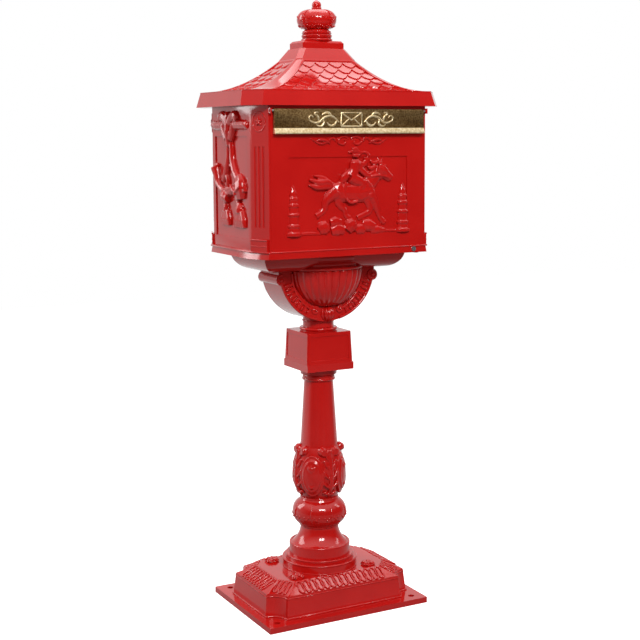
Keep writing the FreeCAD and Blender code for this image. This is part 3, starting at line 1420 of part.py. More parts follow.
def tie_rod():
    foot = "(post_foot - base_wall)"
    top = "(tray_foot + tray_floor)"
    overhang = "(rod_washer_thick + rod_nut_thick + rod_spare)"
    named("tie_rod", cylinder("tie_rod", "rod_radius", f"{top} - {foot} + 2 * {overhang}",
                              ("0", "0", f"{foot} - {overhang}")))
    washers = []
    nuts = []
    for k, (washer_foot, nut_foot) in enumerate((
            (f"{foot} - rod_washer_thick", f"{foot} - rod_washer_thick - rod_nut_thick"),
            (top, f"{top} + rod_washer_thick"))):
        disc = cylinder(f"washer_disc_{k}", "rod_washer_radius", "rod_washer_thick", ("0", "0", washer_foot))
        eye = cylinder(f"washer_eye_{k}", "rod_radius + running_gap", "rod_washer_thick",
                       ("0", "0", washer_foot))
        washers.append(cut(f"washer_{k}", disc, [eye]))
        block = hexagon(f"rod_nut_hex_{k}", "rod_nut_radius", "rod_nut_thick", ("0", "0", nut_foot))
        thread = cylinder(f"rod_nut_thread_{k}", "rod_radius + running_gap", "rod_nut_thick",
                          ("0", "0", nut_foot))
        nuts.append(cut(f"rod_nut_{k}", block, [thread]))
    named("tie_rod_washers", group("tie_rod_washers", washers))
    named("tie_rod_nuts", group("tie_rod_nuts", nuts))


def box_screws():
    down = Vector(0, 0, -1)
    roof = []
    tray = []
    panel = []
    bowl = [pan_screw(f"bowl_screw_{i}", (*spot, "tray_foot + tray_floor"), down,
                      "screw_bite + tray_floor - edge_break")
            for i, spot in enumerate(bowl_screw_spots())]
    for i, (side_x, side_y) in enumerate(CORNERS):
        spot = (f"{side_x} * lug_x", f"{side_y} * lug_y")
        roof.append(pan_screw(f"roof_screw_{i}", (*spot, "eave_foot - lug_height"), UP,
                              "lug_height + screw_bite - edge_break"))
        tray.append(pan_screw(f"tray_screw_{i}", (*spot, "tray_foot"), UP,
                              "tray_thick + lug_height - edge_break"))
        for k, level in enumerate(PANEL_SCREW_LEVELS):
            seat = (f"{side_x} * panel_screw_x", f"{side_y} * (box_width / 2 - wall_thick - flange_thick)",
                    level)
            panel.append(pan_screw(f"panel_screw_{i}_{k}", seat, Vector(0, side_y, 0), "screw_bite - seam"))
    named("bowl_screws", group("bowl_screws", bowl))
    named("roof_screws", group("roof_screws", roof))
    named("tray_screws", group("tray_screws", tray))
    named("panel_screws", group("panel_screws", panel))
    rim = pan_screw("rim_screw", ("rim_screw_offset", "-tray_width / 2", "tray_foot + tray_thick / 2"),
                    Vector(0, 1, 0), "screw_bite + ledge - edge_break")
    slit = centred_box("rim_screw_slit", ("2 * screw_head_radius", "screw_head_thick", "seam * 5"),
                       ("rim_screw_offset", "-tray_width / 2 - screw_head_thick",
                        "tray_foot + tray_thick / 2"))
    named("rim_screw", cut("rim_screw", rim, [slit]))


base_casting()
post_column()
capital_block()
support_bowl()
floor_tray()
side_casting("left_side", -1)
side_casting("right_side", 1)
front_panel()
back_panel()
back_door()
cam_lock()
mail_flap()
roof_casting()
finial()
tie_rod()
box_screws()

doc.recompute()
failed = [thing.Name for thing in doc.Objects if {"Invalid", "Error"} & set(thing.State)]
failed += [name for name, thing in subparts.items() if thing.Shape.isNull() or not thing.Shape.isValid()]
if failed:
    raise RuntimeError("these objects failed: " + ", ".join(failed))
os.makedirs("parts", exist_ok=True)
for name, thing in subparts.items():
    thing.Shape.exportStep(f"parts/{name}.step")
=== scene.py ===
import json
import math

import bpy
from mathutils import Euler, Matrix, Vector


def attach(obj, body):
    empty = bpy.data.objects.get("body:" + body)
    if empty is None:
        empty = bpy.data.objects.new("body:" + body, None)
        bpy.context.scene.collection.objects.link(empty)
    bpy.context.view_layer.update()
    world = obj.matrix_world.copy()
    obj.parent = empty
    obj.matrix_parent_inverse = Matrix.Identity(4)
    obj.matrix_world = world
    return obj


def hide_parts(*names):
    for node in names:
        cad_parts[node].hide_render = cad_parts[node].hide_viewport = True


# Looks of a pedestal mailbox in red enamel with a brass mail flap.
# Metres, +Z up, the front faces -Y, as in the CAD frame. The modelling helpers take millimetres.

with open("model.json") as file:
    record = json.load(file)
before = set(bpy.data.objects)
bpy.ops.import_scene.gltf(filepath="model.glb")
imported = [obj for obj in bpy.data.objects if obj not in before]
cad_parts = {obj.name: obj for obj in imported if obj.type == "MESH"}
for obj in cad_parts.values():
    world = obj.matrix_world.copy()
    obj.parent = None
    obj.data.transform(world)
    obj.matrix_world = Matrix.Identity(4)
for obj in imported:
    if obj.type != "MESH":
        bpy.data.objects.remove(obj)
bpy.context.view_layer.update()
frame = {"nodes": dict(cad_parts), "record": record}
MM = 0.001
BODY_OF = {node: body for body, nodes in frame["record"]["behaviour"]["bodies"].items() for node in nodes}
SLOT_OF = {entry["node"]: entry["material_slot"] for entry in frame["record"]["subparts"]}

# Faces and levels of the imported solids, in millimetres
SHAVE = 0.02  # what a cutter leaves standing, so that no two faces coincide
FRONT_FACE, FRONT_SUNK_FACE = -123, -121
SIDE_FACE, SIDE_SUNK_FACE = 178, 176
FLAP_FACE = -131
BORDER_FOOT, BASE_TOP = 54, 70
POST_FOOT = 95
VASE_RADIUS, VASE_LEVEL = 47, 152  # this level counts from the post's foot
ARM_FACE, ARM_LEVEL, BUD_LEVEL = -38.2, 655.5, 567.5
HALF_BOWL_PLACE, HALF_BOWL_RIM = -32, 653
SIDE_PANEL_FOOT, FRONT_PANEL_FOOT, LIP_TOP = 718, 724, 914.6
EAVE_TOP, ROOF_NECK, CROWN_LEVEL = 979.4, 1039, 1114


# Finishes

def noise_at(tree, scale, detail=3.0):
    """Noise on object coordinates."""
    place = tree.nodes.new("ShaderNodeTexCoord")
    noise = tree.nodes.new("ShaderNodeTexNoise")
    noise.inputs["Scale"].default_value = scale
    noise.inputs["Detail"].default_value = detail
    tree.links.new(place.outputs["Object"], noise.inputs["Vector"])
    return noise.outputs["Fac"]


def ramp_between(tree, source, low, high, first, second):
    """Colour that runs from one value to another over a span of the source."""
    ramp = tree.nodes.new("ShaderNodeValToRGB")
    ramp.color_ramp.elements[0].position = low
    ramp.color_ramp.elements[1].position = high
    ramp.color_ramp.elements[0].color = (*first, 1)
    ramp.color_ramp.elements[1].color = (*second, 1)
    tree.links.new(source, ramp.inputs["Fac"])
    return ramp.outputs["Color"]


def cast_finish(name, colours, metallic, roughness, patch_scale, grain):
    """Finish with patches of two colours, uneven gloss and a fine grain of scale, strength and depth."""
    material = bpy.data.materials.new(name)
    material.use_nodes = True
    tree = material.node_tree
    shader = tree.nodes["Principled BSDF"]
    shader.inputs["Metallic"].default_value = metallic
    patches = noise_at(tree, patch_scale, 4)
    tree.links.new(ramp_between(tree, patches, 0.35, 0.65, *colours), shader.inputs["Base Color"])
    gloss = tree.nodes.new("ShaderNodeMapRange")
    gloss.inputs["To Min"].default_value, gloss.inputs["To Max"].default_value = roughness
    tree.links.new(noise_at(tree, patch_scale / 2), gloss.inputs["Value"])
    tree.links.new(gloss.outputs["Result"], shader.inputs["Roughness"])
    scale, strength, depth = grain
    bump = tree.nodes.new("ShaderNodeBump")
    bump.inputs["Strength"].default_value = strength
    bump.inputs["Distance"].default_value = depth
    tree.links.new(noise_at(tree, scale), bump.inputs["Height"])
    tree.links.new(bump.outputs["Normal"], shader.inputs["Normal"])
    return material


RED = cast_finish("red enamel", ((0.47, 0.0062, 0.0048), (0.51, 0.0078, 0.0058)), metallic=0,
                  roughness=(0.09, 0.16), patch_scale=14, grain=(160, 0.06, 0.3 * MM))
DARK_BRASS = cast_finish("antiqued brass", ((0.19, 0.105, 0.038), (0.46, 0.29, 0.12)), metallic=1,
                         roughness=(0.38, 0.58), patch_scale=330, grain=(700, 0.4, 0.25 * MM))
# Lighter, less metallic brass: the lamps' highlight painted onto the flap's lip; the flap's ornament uses it
# too
HIGHLIGHT_PAINTED_BRASS = cast_finish("brass with painted highlight", ((0.66, 0.47, 0.22), (0.95, 0.80, 0.52)), metallic=0.75,
                           roughness=(0.26, 0.44), patch_scale=240, grain=(600, 0.3, 0.2 * MM))
STEEL = cast_finish("zinc plated steel", ((0.56, 0.56, 0.57), (0.66, 0.66, 0.67)), metallic=1,
                    roughness=(0.25, 0.4), patch_scale=60, grain=(500, 0.15, 0.1 * MM))
LOCK_METAL = cast_finish("polished lock metal", ((0.70, 0.70, 0.71), (0.76, 0.76, 0.77)), metallic=1,
                         roughness=(0.1, 0.2), patch_scale=80, grain=(600, 0.05, 0.1 * MM))
FINISHES = {"red_paint": RED, "aged_brass": DARK_BRASS, "bright_steel": STEEL, "lock_metal": LOCK_METAL}


# Small modelling helpers

def only(*pieces):
    """Selects these pieces and nothing else, the first one active."""
    bpy.ops.object.select_all(action="DESELECT")
    for piece in pieces:
        piece.select_set(True)
    bpy.context.view_layer.objects.active = pieces[0]


def finish_with(piece, kind, **settings):
    """Adds a modifier, sets it up and applies it."""
    only(piece)
    modifier = piece.modifiers.new(kind.lower(), kind)
    for name, value in settings.items():
        setattr(modifier, name, value)
    bpy.ops.object.modifier_apply(modifier=modifier.name)
    return piece


def edited(piece, *steps):
    """Runs operators in edit mode with all of the piece selected."""
    only(piece)
    bpy.ops.object.mode_set(mode="EDIT")
    bpy.ops.mesh.select_all(action="SELECT")
    for step in steps:
        step()
    bpy.ops.object.mode_set(mode="OBJECT")
    return piece


def settled(piece):
    """Moves a piece's place and size into its mesh."""
    only(piece)
    bpy.ops.object.transform_apply(location=True, rotation=True, scale=True)
    return piece


def smooth(piece, angle=32):
    """Shades a piece smooth up to an angle between faces."""
    only(piece)
    bpy.ops.object.shade_smooth_by_angle(angle=math.radians(angle))
    return piece


def block(low, high):
    """Cutting block between two corners, in millimetres."""
    low, high = Vector(low) * MM, Vector(high) * MM
    bpy.ops.object.select_all(action="DESELECT")
    bpy.ops.mesh.primitive_cube_add(size=1, location=(low + high) / 2, scale=high - low)
    return settled(bpy.context.object)


def carve(piece, cutter):
    """Cuts one piece out of another."""
    finish_with(piece, "BOOLEAN", operation="DIFFERENCE", object=cutter, solver="EXACT")
    bpy.data.objects.remove(cutter)


def merged(name, pieces):
    """Joins pieces into one mesh under a name."""
    only(*pieces)
    if len(pieces) > 1:
        bpy.ops.object.join()
    pieces[0].name = name
    return pieces[0]


def dress(name, pieces, material, body, *replaced):
    """Joins the parts of a finished piece, paints it and lets it ride on its body.

    The two brass finishes share one slot.
    """
    piece = merged(name, pieces)
    piece.data.materials.clear()
    piece.data.materials.append(material)
    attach(piece, body)
    if replaced:
        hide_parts(*replaced)


def casting_blank(node):
    """Clean copy of a CAD node's mesh with its flat faces whole again."""
    bpy.ops.object.select_all(action="DESELECT")
    source = frame["nodes"][node]
    copy = source.copy()
    copy.data = source.data.copy()
    for key in list(copy.keys()):
        del copy[key]
    copy.parent = None
    bpy.context.scene.collection.objects.link(copy)
    return edited(copy, lambda: bpy.ops.mesh.remove_doubles(threshold=0.01 * MM),
                  lambda: bpy.ops.mesh.dissolve_limited(angle_limit=math.radians(1)))


def eased(piece, width, angle=28, segments=2):
    """Rounds a casting's edges by millimetres so that they catch the light, and keeps its faces flat."""
    finish_with(piece, "BEVEL", width=width * MM, segments=segments, limit_method="ANGLE",
                angle_limit=math.radians(angle), use_clamp_overlap=True)
    smooth(piece)
    return finish_with(piece, "WEIGHTED_NORMAL", keep_sharp=True)


# Sculpted ornament: tapering strands, melted together and smoothed like a casting

def strands(paths, closed=False, straight=False, sides=3):
    """Mesh of rounded strands, each through points x, y, z with a radius, all in millimetres."""
    curve = bpy.data.curves.new("strands", "CURVE")
    curve.dimensions = "3D"
    curve.bevel_depth = MM
    curve.bevel_resolution = sides
    curve.resolution_u = 1 if straight else 5
    curve.use_fill_caps = True
    for points in paths:
        spline = curve.splines.new("BEZIER")
        spline.bezier_points.add(len(points) - 1)
        spline.use_cyclic_u = closed
        for knot, (x, y, z, radius) in zip(spline.bezier_points, points):
            knot.co = (x * MM, y * MM, z * MM)
            knot.radius = radius
            knot.handle_left_type = knot.handle_right_type = "VECTOR" if straight else "AUTO"
    piece = bpy.data.objects.new("strands", curve)
    bpy.context.scene.collection.objects.link(piece)
    only(piece)
    bpy.ops.object.convert(target="MESH")
    return smooth(bpy.context.object, 60)


def ball(centre, radii, segments=20):
    """Stretched sphere, in millimetres."""
    bpy.ops.object.select_all(action="DESELECT")
    bpy.ops.mesh.primitive_uv_sphere_add(segments=segments, ring_count=segments // 2,
                                         location=Vector(centre) * MM, scale=Vector(radii) * MM)
    return smooth(settled(bpy.context.object), 180)


def beads(spots, radius):
    """Row of small balls as one piece, in millimetres."""
    return merged("beads", [ball(spot, (radius, radius, radius), 10) for spot in spots])


def disc(centre, radii, height, lip):
    """Upright elliptic disc with rounded rims, in millimetres."""
    bpy.ops.object.select_all(action="DESELECT")
    bpy.ops.mesh.primitive_cylinder_add(vertices=96, radius=1, depth=height * MM,
                                        location=Vector(centre) * MM, scale=(radii[0] * MM, radii[1] * MM, 1))
    return eased(settled(bpy.context.object), lip, 60, 5)


def ring(level, radius, thick):
    """Round bead that runs round the post's axis at a level, in millimetres."""
    bpy.ops.object.select_all(action="DESELECT")
    bpy.ops.mesh.primitive_torus_add(location=(0, 0, level * MM), major_radius=radius * MM,
                                     minor_radius=thick * MM, major_segments=96, minor_segments=12)
    return smooth(settled(bpy.context.object), 180)


def shift(x, y, z):
    """Matrix that moves by millimetres."""
    return Matrix.Translation(Vector((x, y, z)) * MM)


def squeeze(depth):
    """Matrix that flattens relief from front to back."""
    return Matrix.Diagonal((1, depth, 1, 1))


def upright_turn(degrees):
    """Matrix that turns about the upright axis."""
    return Matrix.Rotation(math.radians(degrees), 4, "Z")


def laid(piece, matrix):
    """Moves a piece's mesh by a matrix."""
    piece.data.transform(matrix)
    piece.data.update()
    return piece


def mirrored(piece):
    """Turns a piece into its mirror image from front to back, with its faces still outward."""
    laid(piece, Matrix.Diagonal((1, -1, 1, 1)))
    return edited(piece, lambda: bpy.ops.mesh.flip_normals())


def twin(piece):
    """Copy of a piece."""
    copy = piece.copy()
    copy.data = piece.data.copy()
    bpy.context.scene.collection.objects.link(copy)
    return copy


def melted(pieces, voxel, rounds):
    """Joins overlapping pieces into one skin and smooths it."""
    whole = merged("ornament", pieces)
    finish_with(whole, "REMESH", mode="VOXEL", voxel_size=voxel * MM, use_smooth_shade=True)
    finish_with(whole, "SMOOTH", factor=0.5, iterations=rounds)
    return smooth(whole, 180)


def relief(paths, depth, lift=0.0):
    """Flat strands of x, z and radius, squeezed to a share of their thickness and lifted off the wall."""
    whole = strands([[(x, 0, z, radius) for x, z, radius in points] for points in paths])
    return laid(whole, shift(0, -lift, 0) @ squeeze(depth))


def trimmed(piece, point, dropped_side):
    """Cuts a piece at a plane and drops the side that the direction points to."""
    return edited(piece, lambda: bpy.ops.mesh.bisect(
        plane_co=Vector(point) * MM, plane_no=dropped_side, clear_outer=True, use_fill=True))


def spiral(centre, start, end, turns, first, hand, thick):
    """Points of a flat curl in x and z that winds in from one radius to another."""
    steps = int(turns * 8)
    thinning = 0.35
    points = []
    for i in range(steps + 1):
        share = i / steps
        angle = math.radians(first) + hand * 2 * math.pi * turns * share
        reach = start + (end - start) * share
        points.append((centre[0] + reach * math.cos(angle), centre[1] + reach * math.sin(angle),
                       thick * (1 - thinning * share)))
    return points


# Front: galloping rider over rocks between two small towers, a flourish above

def tower(x):
    """Stepped tower with a pointed top: levels and radii of its turned outline."""
    steps = ((0, 15.5), (6, 15.5), (7, 12), (15, 11.4), (16, 13.5), (20, 13.5), (21, 10.5), (35, 9.8),
             (36, 12.5), (40, 12.5), (41, 9.6), (51, 9), (52, 11.5), (57, 11), (58, 8.8), (64, 8.8),
             (65, 10), (68, 9.6), (70, 7.6), (78, 6.4), (84, 3.6), (90, 1.4))
    return strands([[(x, 0, z, radius) for z, radius in steps]], straight=True, sides=5)


def rider_group():
    """Relief of the sunk panel: x, z and radius from the middle of the panel's foot."""
    horse = relief([
        [(-40, 85, 8), (-27, 79, 19.5), (0, 75, 18), (24, 75, 19), (40, 79, 18), (49, 85, 11)],
        [(33, 85, 17), (46, 96, 15.5), (56, 109, 13), (63, 120, 9.5)],
    ], 0.45)
    head = relief([
        [(58, 119, 12), (68, 114, 13.5), (78, 106, 10.5), (87, 99, 8.4)], [(60, 108, 9), (69, 104, 9)],
        [(60, 130, 3.8), (60, 138, 1.6)], [(67, 128, 3.6), (70, 136, 1.6)],
    ], 0.75)
    legs = relief([
        [(-28, 78, 15), (-41, 68, 11), (-49, 58, 7.8), (-51, 47, 6), (-59, 39, 5.4), (-68, 34, 6.6)],
        [(42, 73, 13), (53, 56, 8.8), (59, 42, 6.5), (65, 28, 5.2), (74, 18, 6.4)],
    ], 0.7)
    far_legs = relief([
        [(-16, 70, 13), (-22, 60, 9), (-18, 52, 7), (-9, 43, 5.4), (-6, 33, 5), (1, 28, 6.2)],
        [(34, 68, 11), (41, 54, 8), (43, 41, 6.4), (31, 34, 5.4), (17, 28, 6.2)],
    ], 0.55)
    hair = relief([
        [(-36, 90, 5.4), (-47, 95, 7.4), (-60, 94, 7.4), (-82, 100, 2)],
        [(-36, 87, 5), (-50, 87, 6.8), (-66, 86, 5.8), (-84, 91, 1.8)],
        [(-38, 92, 4.2), (-52, 101, 5.2), (-73, 107, 1.8)],
        [(60, 130, 4.4), (50, 128, 4.4), (43, 132, 1.8)], [(54, 122, 4.4), (44, 118, 4.4), (37, 122, 1.8)],
        [(47, 110, 4), (38, 105, 3.8), (30, 109, 1.6)], [(43, 102, 3.6), (35, 98, 3.4), (28, 101, 1.6)],
    ], 0.9, 2.5)
    tack = relief([
        [(-9, 94, 2.4), (-13, 77, 2.4), (-3, 58, 2.4), (15, 59, 2.4)],
        [(34, 96, 2), (45, 81, 2.3), (43, 64, 2)],
        [(44, 103, 1.8), (60, 105, 1.8), (78, 102, 1.8)], [(63, 126, 1.7), (73, 106, 1.7)],
        [(73, 115, 1.7), (80, 99, 1.7)],
    ], 1, 6.6)
    rider = relief([
        [(1, 104, 12), (12, 98, 11.5), (25, 90, 9), (21, 80, 7), (14, 69, 6.4), (27, 64, 4.4)],
        [(3, 104, 12), (8, 116, 10.5), (11, 128, 11.5), (11, 135, 6.5)],
        [(-2, 111, 6), (-12, 102, 8), (-20, 91, 3.2)],
        [(13, 127, 6.6), (25, 114, 6), (38, 105, 5.2), (46, 102, 4.2)],
        [(13, 130, 6.6), (26, 125, 6), (33, 131, 5), (34, 138, 4.4)],
    ], 0.6, 4.2)
    hat_and_bugle = relief([
        [(11, 138, 6.6), (11.5, 141, 7.8), (11.5, 144, 6.8)],
        [(-3, 147, 2.4), (10, 149, 3.8), (25, 147, 2.4)],
        [(5, 151, 4.4), (10, 153, 5), (16, 151, 4)],
        [(19, 141, 2), (27, 147, 2.6), (35, 146, 3), (39, 140, 3.8)],
    ], 0.8, 3.4)
    rocks = relief([
        [(-62, 7, 9), (-54, 12, 15), (-45, 16, 12)], [(-40, 21, 8), (-29, 23, 11), (-17, 21, 8)],
        [(-38, 6, 9), (-24, 9, 13), (-11, 6, 9)], [(-4, 6, 10), (3, 15, 15), (13, 19, 10)],
        [(13, 5, 8), (22, 8, 11), (32, 5, 8)], [(26, 17, 8), (39, 15, 13), (52, 11, 10)],
        [(44, 4, 7), (59, 6, 8.4), (74, 4, 4.6)],
        [(-118, 2, 3), (-85, 4, 3.4), (-58, 3, 3.4)], [(66, 4, 3.2), (90, 3, 3), (118, 3, 3)],
    ], 0.6)
    towers = [laid(tower(side * 113), squeeze(0.6)) for side in (1, -1)]
    group = melted([horse, head, legs, far_legs, hair, tack, rider, hat_and_bugle, rocks, *towers], 0.9, 1)
    laid(group, shift(0, FRONT_SUNK_FACE, FRONT_PANEL_FOOT))
    return trimmed(group, (0, FRONT_SUNK_FACE + 0.4, 0), (0, 1, 0))


def both_hands(paths):
    """Flat strands of x, z and radius, and their mirror images."""
    return [[(hand * x, z, radius) for x, z, radius in points] for hand in (1, -1) for points in paths]


def flourish():
    """Leaf, long curl and inner curl over the panel, on both hands."""
    paths = both_hands([
        [(40, 163, 1.4), (48, 168, 3.8), (60, 170, 3.2), (71, 166, 1.2)],
        [(78, 172, 1.2), (60, 163, 2.5), (46, 166, 2.5), (34, 173, 2.4), (28, 167, 1.6)],
        [(2, 171, 1.4), (9, 175, 2.3), (18, 174, 2.4), (24, 168, 2.5), (18, 162, 2.5), (10, 163, 2.3),
         (9, 169, 1.9), (14, 170, 1.4)],
    ])
    return laid(relief(paths, 1.35, 0.3), shift(0, FRONT_FACE, FRONT_PANEL_FOOT))


def front_piece():
    """Front casting with its plain relief shaved off and the sculpted one in its place."""
    front = casting_blank("front_panel")
    carve(front, block((-121.9, -140, FRONT_PANEL_FOOT + 0.1), (121.9, FRONT_SUNK_FACE - SHAVE, 862.9)))
    carve(front, block((-149.9, -140, 700), (149.9, FRONT_FACE - SHAVE, 903)))
    eased(front, 0.5)
    dress("front_panel_piece", [front, rider_group(), flourish()], RED, "frame", "front_panel")


front_piece()


# Sides: hanging trophy of roll, ribbon, cords, satchel, horn and tassels, and a rosette on each pilaster

PILASTER_X, PILASTER_Y = 169.5, 102.5
PILASTER_FACING_X, PILASTER_FACING_Y = 41, 17
ROSETTE_LEVEL, PILASTER_BLOCK_FOOT = 926, 698.5


def tassel(x, top, foot, wide):
    """Bound head and flared skirt of threads."""
    skirt = [[(x + wide * k * 0.5, top - 8, 7), (x + wide * k * 0.85, foot + 12, 8), (x + wide * k, foot, 6)]
             for k in (-1, -0.6, -0.2, 0.2, 0.6, 1)]
    bands = [[(x - wide * 0.7, z, 2.2), (x, z - 1, 3.4), (x + wide * 0.7, z, 2.2)]
             for z in (top + 2, top - 6)]
    head = [(x, top + 8, 6), (x, top - 2, wide * 0.6), (x, top - 10, wide * 0.6)]
    return [*skirt, *bands, head]


def trophy():
    """Hanging trophy, facing -Y at the origin, on the foot of the sunk panel."""
    low = relief([
        [(9, 180, 6), (10, 160, 6.4), (12, 140, 7), (20, 120, 8), (34, 102, 7)],
        [(0, 180, 6), (-3, 160, 6.4), (-6, 140, 7), (-15, 122, 8), (-28, 108, 8)],
        [(18, 154, 2.6), (4, 146, 3.4), (-10, 140, 2.6)], [(20, 138, 2.6), (4, 130, 3.4), (-12, 124, 2.6)],
        [(26, 118, 6), (14, 104, 6), (18, 88, 6)], [(20, 80, 7), (3, 82, 7), (-16, 90, 6)],
        [(-20, 72, 6), (-30, 66, 7), (-34, 58, 7)], [(24, 72, 7), (24, 62, 7)],
    ], 1)
    roll = relief([
        [(78, 203, 8), (60, 203, 9.5), (26, 203, 9.5)], [(-74, 203, 8), (-56, 203, 9.5), (-18, 203, 9.5)],
        *[[(u, 213, 3), (u, 203, 10.6), (u, 193, 3)] for u in (72, 60, 48, 36, -30, -42, -54, -66)],
    ], 0.9)
    bow = relief([
        [(44, 210, 8), (36, 219, 10), (22, 217, 10), (12, 207, 9)],
        [(-34, 210, 8), (-26, 219, 10), (-12, 217, 10), (-2, 207, 9)],
        [(10, 226, 7), (7, 217, 11), (5, 204, 11)], [(26, 206, 9), (24, 194, 9), (13, 178, 8)],
        [(-17, 206, 9), (-14, 194, 9), (-3, 178, 8)], [(5, 204, 11), (5, 190, 12), (5, 176, 9), (5, 166, 7)],
    ], 0.9, 2)
    bag = relief([
        [(-30, 112, 12), (-36, 100, 21), (-39, 84, 23), (-40, 70, 16)], [(-52, 100, 12), (-53, 84, 14)],
    ], 0.55)
    bag_flap = relief([[(-18, 96, 2), (-34, 84, 2.8), (-56, 94, 2)], [(-36, 84, 3), (-37, 78, 3.4)]], 1, 12)
    horn = relief([
        [(68, 126, 11), (62, 113, 9), (54, 97, 7.6), (38, 86, 6.6), (16, 85, 5.6), (-6, 90, 4.6)],
        [(56, 131, 3), (67, 130, 4.4), (76, 125, 3)],
    ], 0.95, 2)
    knot = relief([
        [(34, 80, 9), (24, 74, 12), (12, 70, 9)], [(30, 63, 3), (24, 74, 4.4), (17, 85, 3)],
    ], 0.9, 2)
    ends = relief(tassel(24, 56, 20, 14) + tassel(-36, 56, 19, 19), 0.9)
    hanging = melted([low, roll, bow, bag, bag_flap, horn, knot, ends], 1.0, 1)
    return trimmed(hanging, (0, 0.4, 0), (0, 1, 0))


def pilaster_rosette():
    """Thin oval border with a small flower, facing -Y at the origin."""
    turns = [2 * math.pi * i / 16 for i in range(16)]
    border = strands([[(15 * math.cos(t), 0, 17 * math.sin(t), 1.2) for t in turns]], closed=True)
    petals = strands([[(0, -0.4, 0, 1.4), (4 * math.cos(t), -0.9, 4 * math.sin(t), 2.3),
                       (8.5 * math.cos(t), 0, 8.5 * math.sin(t), 0.8)]
                      for t in [math.radians(90 + 72 * k) for k in range(5)]])
    return merged("rosette", [border, petals, ball((0, -0.6, 0), (2.4, 1.8, 2.4), 12)])


def pilaster_foot():
    """Two thin mouldings over the base block of a pilaster, facing -Y at the origin."""
    half, out = 19, -3.4
    return strands([[(-half, out, z, thick), (half, out, z, thick)] for z, thick in ((20, 1.8), (9, 1.3))],
                   straight=True)


def side_piece(node, side):
    """Side casting with sculpted trophy, rosettes and pilaster feet."""
    wall = casting_blank(node)
    cuts = ((SIDE_SUNK_FACE, 70.9, SIDE_PANEL_FOOT + 0.1, 900.9), (SIDE_FACE, 81.9, 700, 953))
    for face, half, low, high in cuts:
        near, far = sorted((side * (face + SHAVE), side * 200))
        carve(wall, block((near, -half, low), (far, half, high)))
    trims = []
    for end in (1, -1):
        turn = Matrix.Rotation(math.atan2(side * PILASTER_FACING_X, -end * PILASTER_FACING_Y), 4, "Z")
        foot = shift(side * PILASTER_X, end * PILASTER_Y, 0) @ turn
        oval = foot @ shift(0, 0, ROSETTE_LEVEL)
        carve(wall, laid(block((-16.8, -12, -21), (16.8, -SHAVE, 21)), oval))
        trims.append(laid(pilaster_rosette(), oval))
        trims.append(laid(pilaster_foot(), foot @ shift(0, 0, PILASTER_BLOCK_FOOT)))
    eased(wall, 0.5)
    hanging = laid(trophy(), shift(side * SIDE_SUNK_FACE, 0, SIDE_PANEL_FOOT) @ upright_turn(side * 90))
    if side < 0:
        mirrored(hanging)
    dress(f"{node}_piece", [wall, hanging, *trims], RED, "frame", node)


side_piece("left_side", -1)
side_piece("right_side", 1)


# Base: looped border, leaf rosettes and mouldings

def slope_axes(foot, top):
    """Directions across, up and out of the sloping border, and its length."""
    up_slope = (top - foot).normalized()
    across = up_slope.cross(Vector((0, 0, 1))).normalized()
    return across, up_slope, across.cross(up_slope), (top - foot).length


def slope_loop(foot, top, step):
    """Raised loop on the sloping border, as wide as its step along the run allows."""
    across, up_slope, out, length = slope_axes(foot, top)
    half, thick, rise = step * 0.33, step * 0.135, 0.8
    shoulder, middle = length - 6.5, length / 2
    outline = ((-half, 5), (-half, middle), (-half, shoulder), (0, length - 2.5),
               (half, shoulder), (half, middle), (half, 5), (0, 2))
    return [(*(foot + across * a + up_slope * b + out * rise), thick) for a, b in outline]


def slope_cutter(foot, top, half):
    """Block that takes the plain ribs off the sloping border."""
    across, up_slope, out, length = slope_axes(foot, top)
    place = Matrix.Translation(foot * MM) @ Matrix((across, up_slope, out)).transposed().to_4x4()
    return laid(block((-half, 0.5, 0.1), (half, length - 0.5, 12)), place)


def border_runs():
    """Foot, top, number of loops, their step and half the length of the plain ribs, for each run."""
    runs = []
    long_run, short_run, corner_run = (99, 71, 14, 13.2, 85), (149, 114, 9, 10.4, 43), (3, 9.9, 15)
    for turn, run in ((0, long_run), (90, short_run), (180, long_run), (270, short_run)):
        foot_half, top_half, count, step, half = run
        spin = Matrix.Rotation(math.radians(turn), 3, "Z")
        foot, top = spin @ Vector((0, -foot_half, BORDER_FOOT)), spin @ Vector((0, -top_half, BASE_TOP))
        runs.append((foot, top, count, step, half))
    for side_x, side_y in ((1, 1), (-1, 1), (-1, -1), (1, -1)):
        foot = Vector((side_x * 127.8, side_y * 77.8, BORDER_FOOT))
        top = Vector((side_x * 102, side_y * 59, BASE_TOP))
        runs.append((foot, top, *corner_run))
    return runs


def border_loops():
    """All the loops of the sloping border."""
    paths = []
    for foot, top, count, step, _ in border_runs():
        across = slope_axes(foot, top)[0]
        for i in range(count):
            along = across * (i - (count - 1) / 2) * step
            paths.append(slope_loop(foot + along, top + along, step))
    return strands(paths, closed=True, sides=2)


def plinth_line(level, thick):
    """Fine moulding that follows the plinth and its scooped corners at one level."""
    draft = 5 * level / BORDER_FOOT
    half_x, half_y, scoop = 154 - draft, 104 - draft, 30
    points = []
    for side_x, side_y, start in ((1, 1, 270), (-1, 1, 0), (-1, -1, 90), (1, -1, 180)):
        for k in range(9):
            angle = math.radians(start - 90 * k / 8)
            x = side_x * half_x + scoop * math.cos(angle)
            y = side_y * half_y + scoop * math.sin(angle)
            points.append((x, y, level, thick))
    return strands([points], closed=True, straight=True)


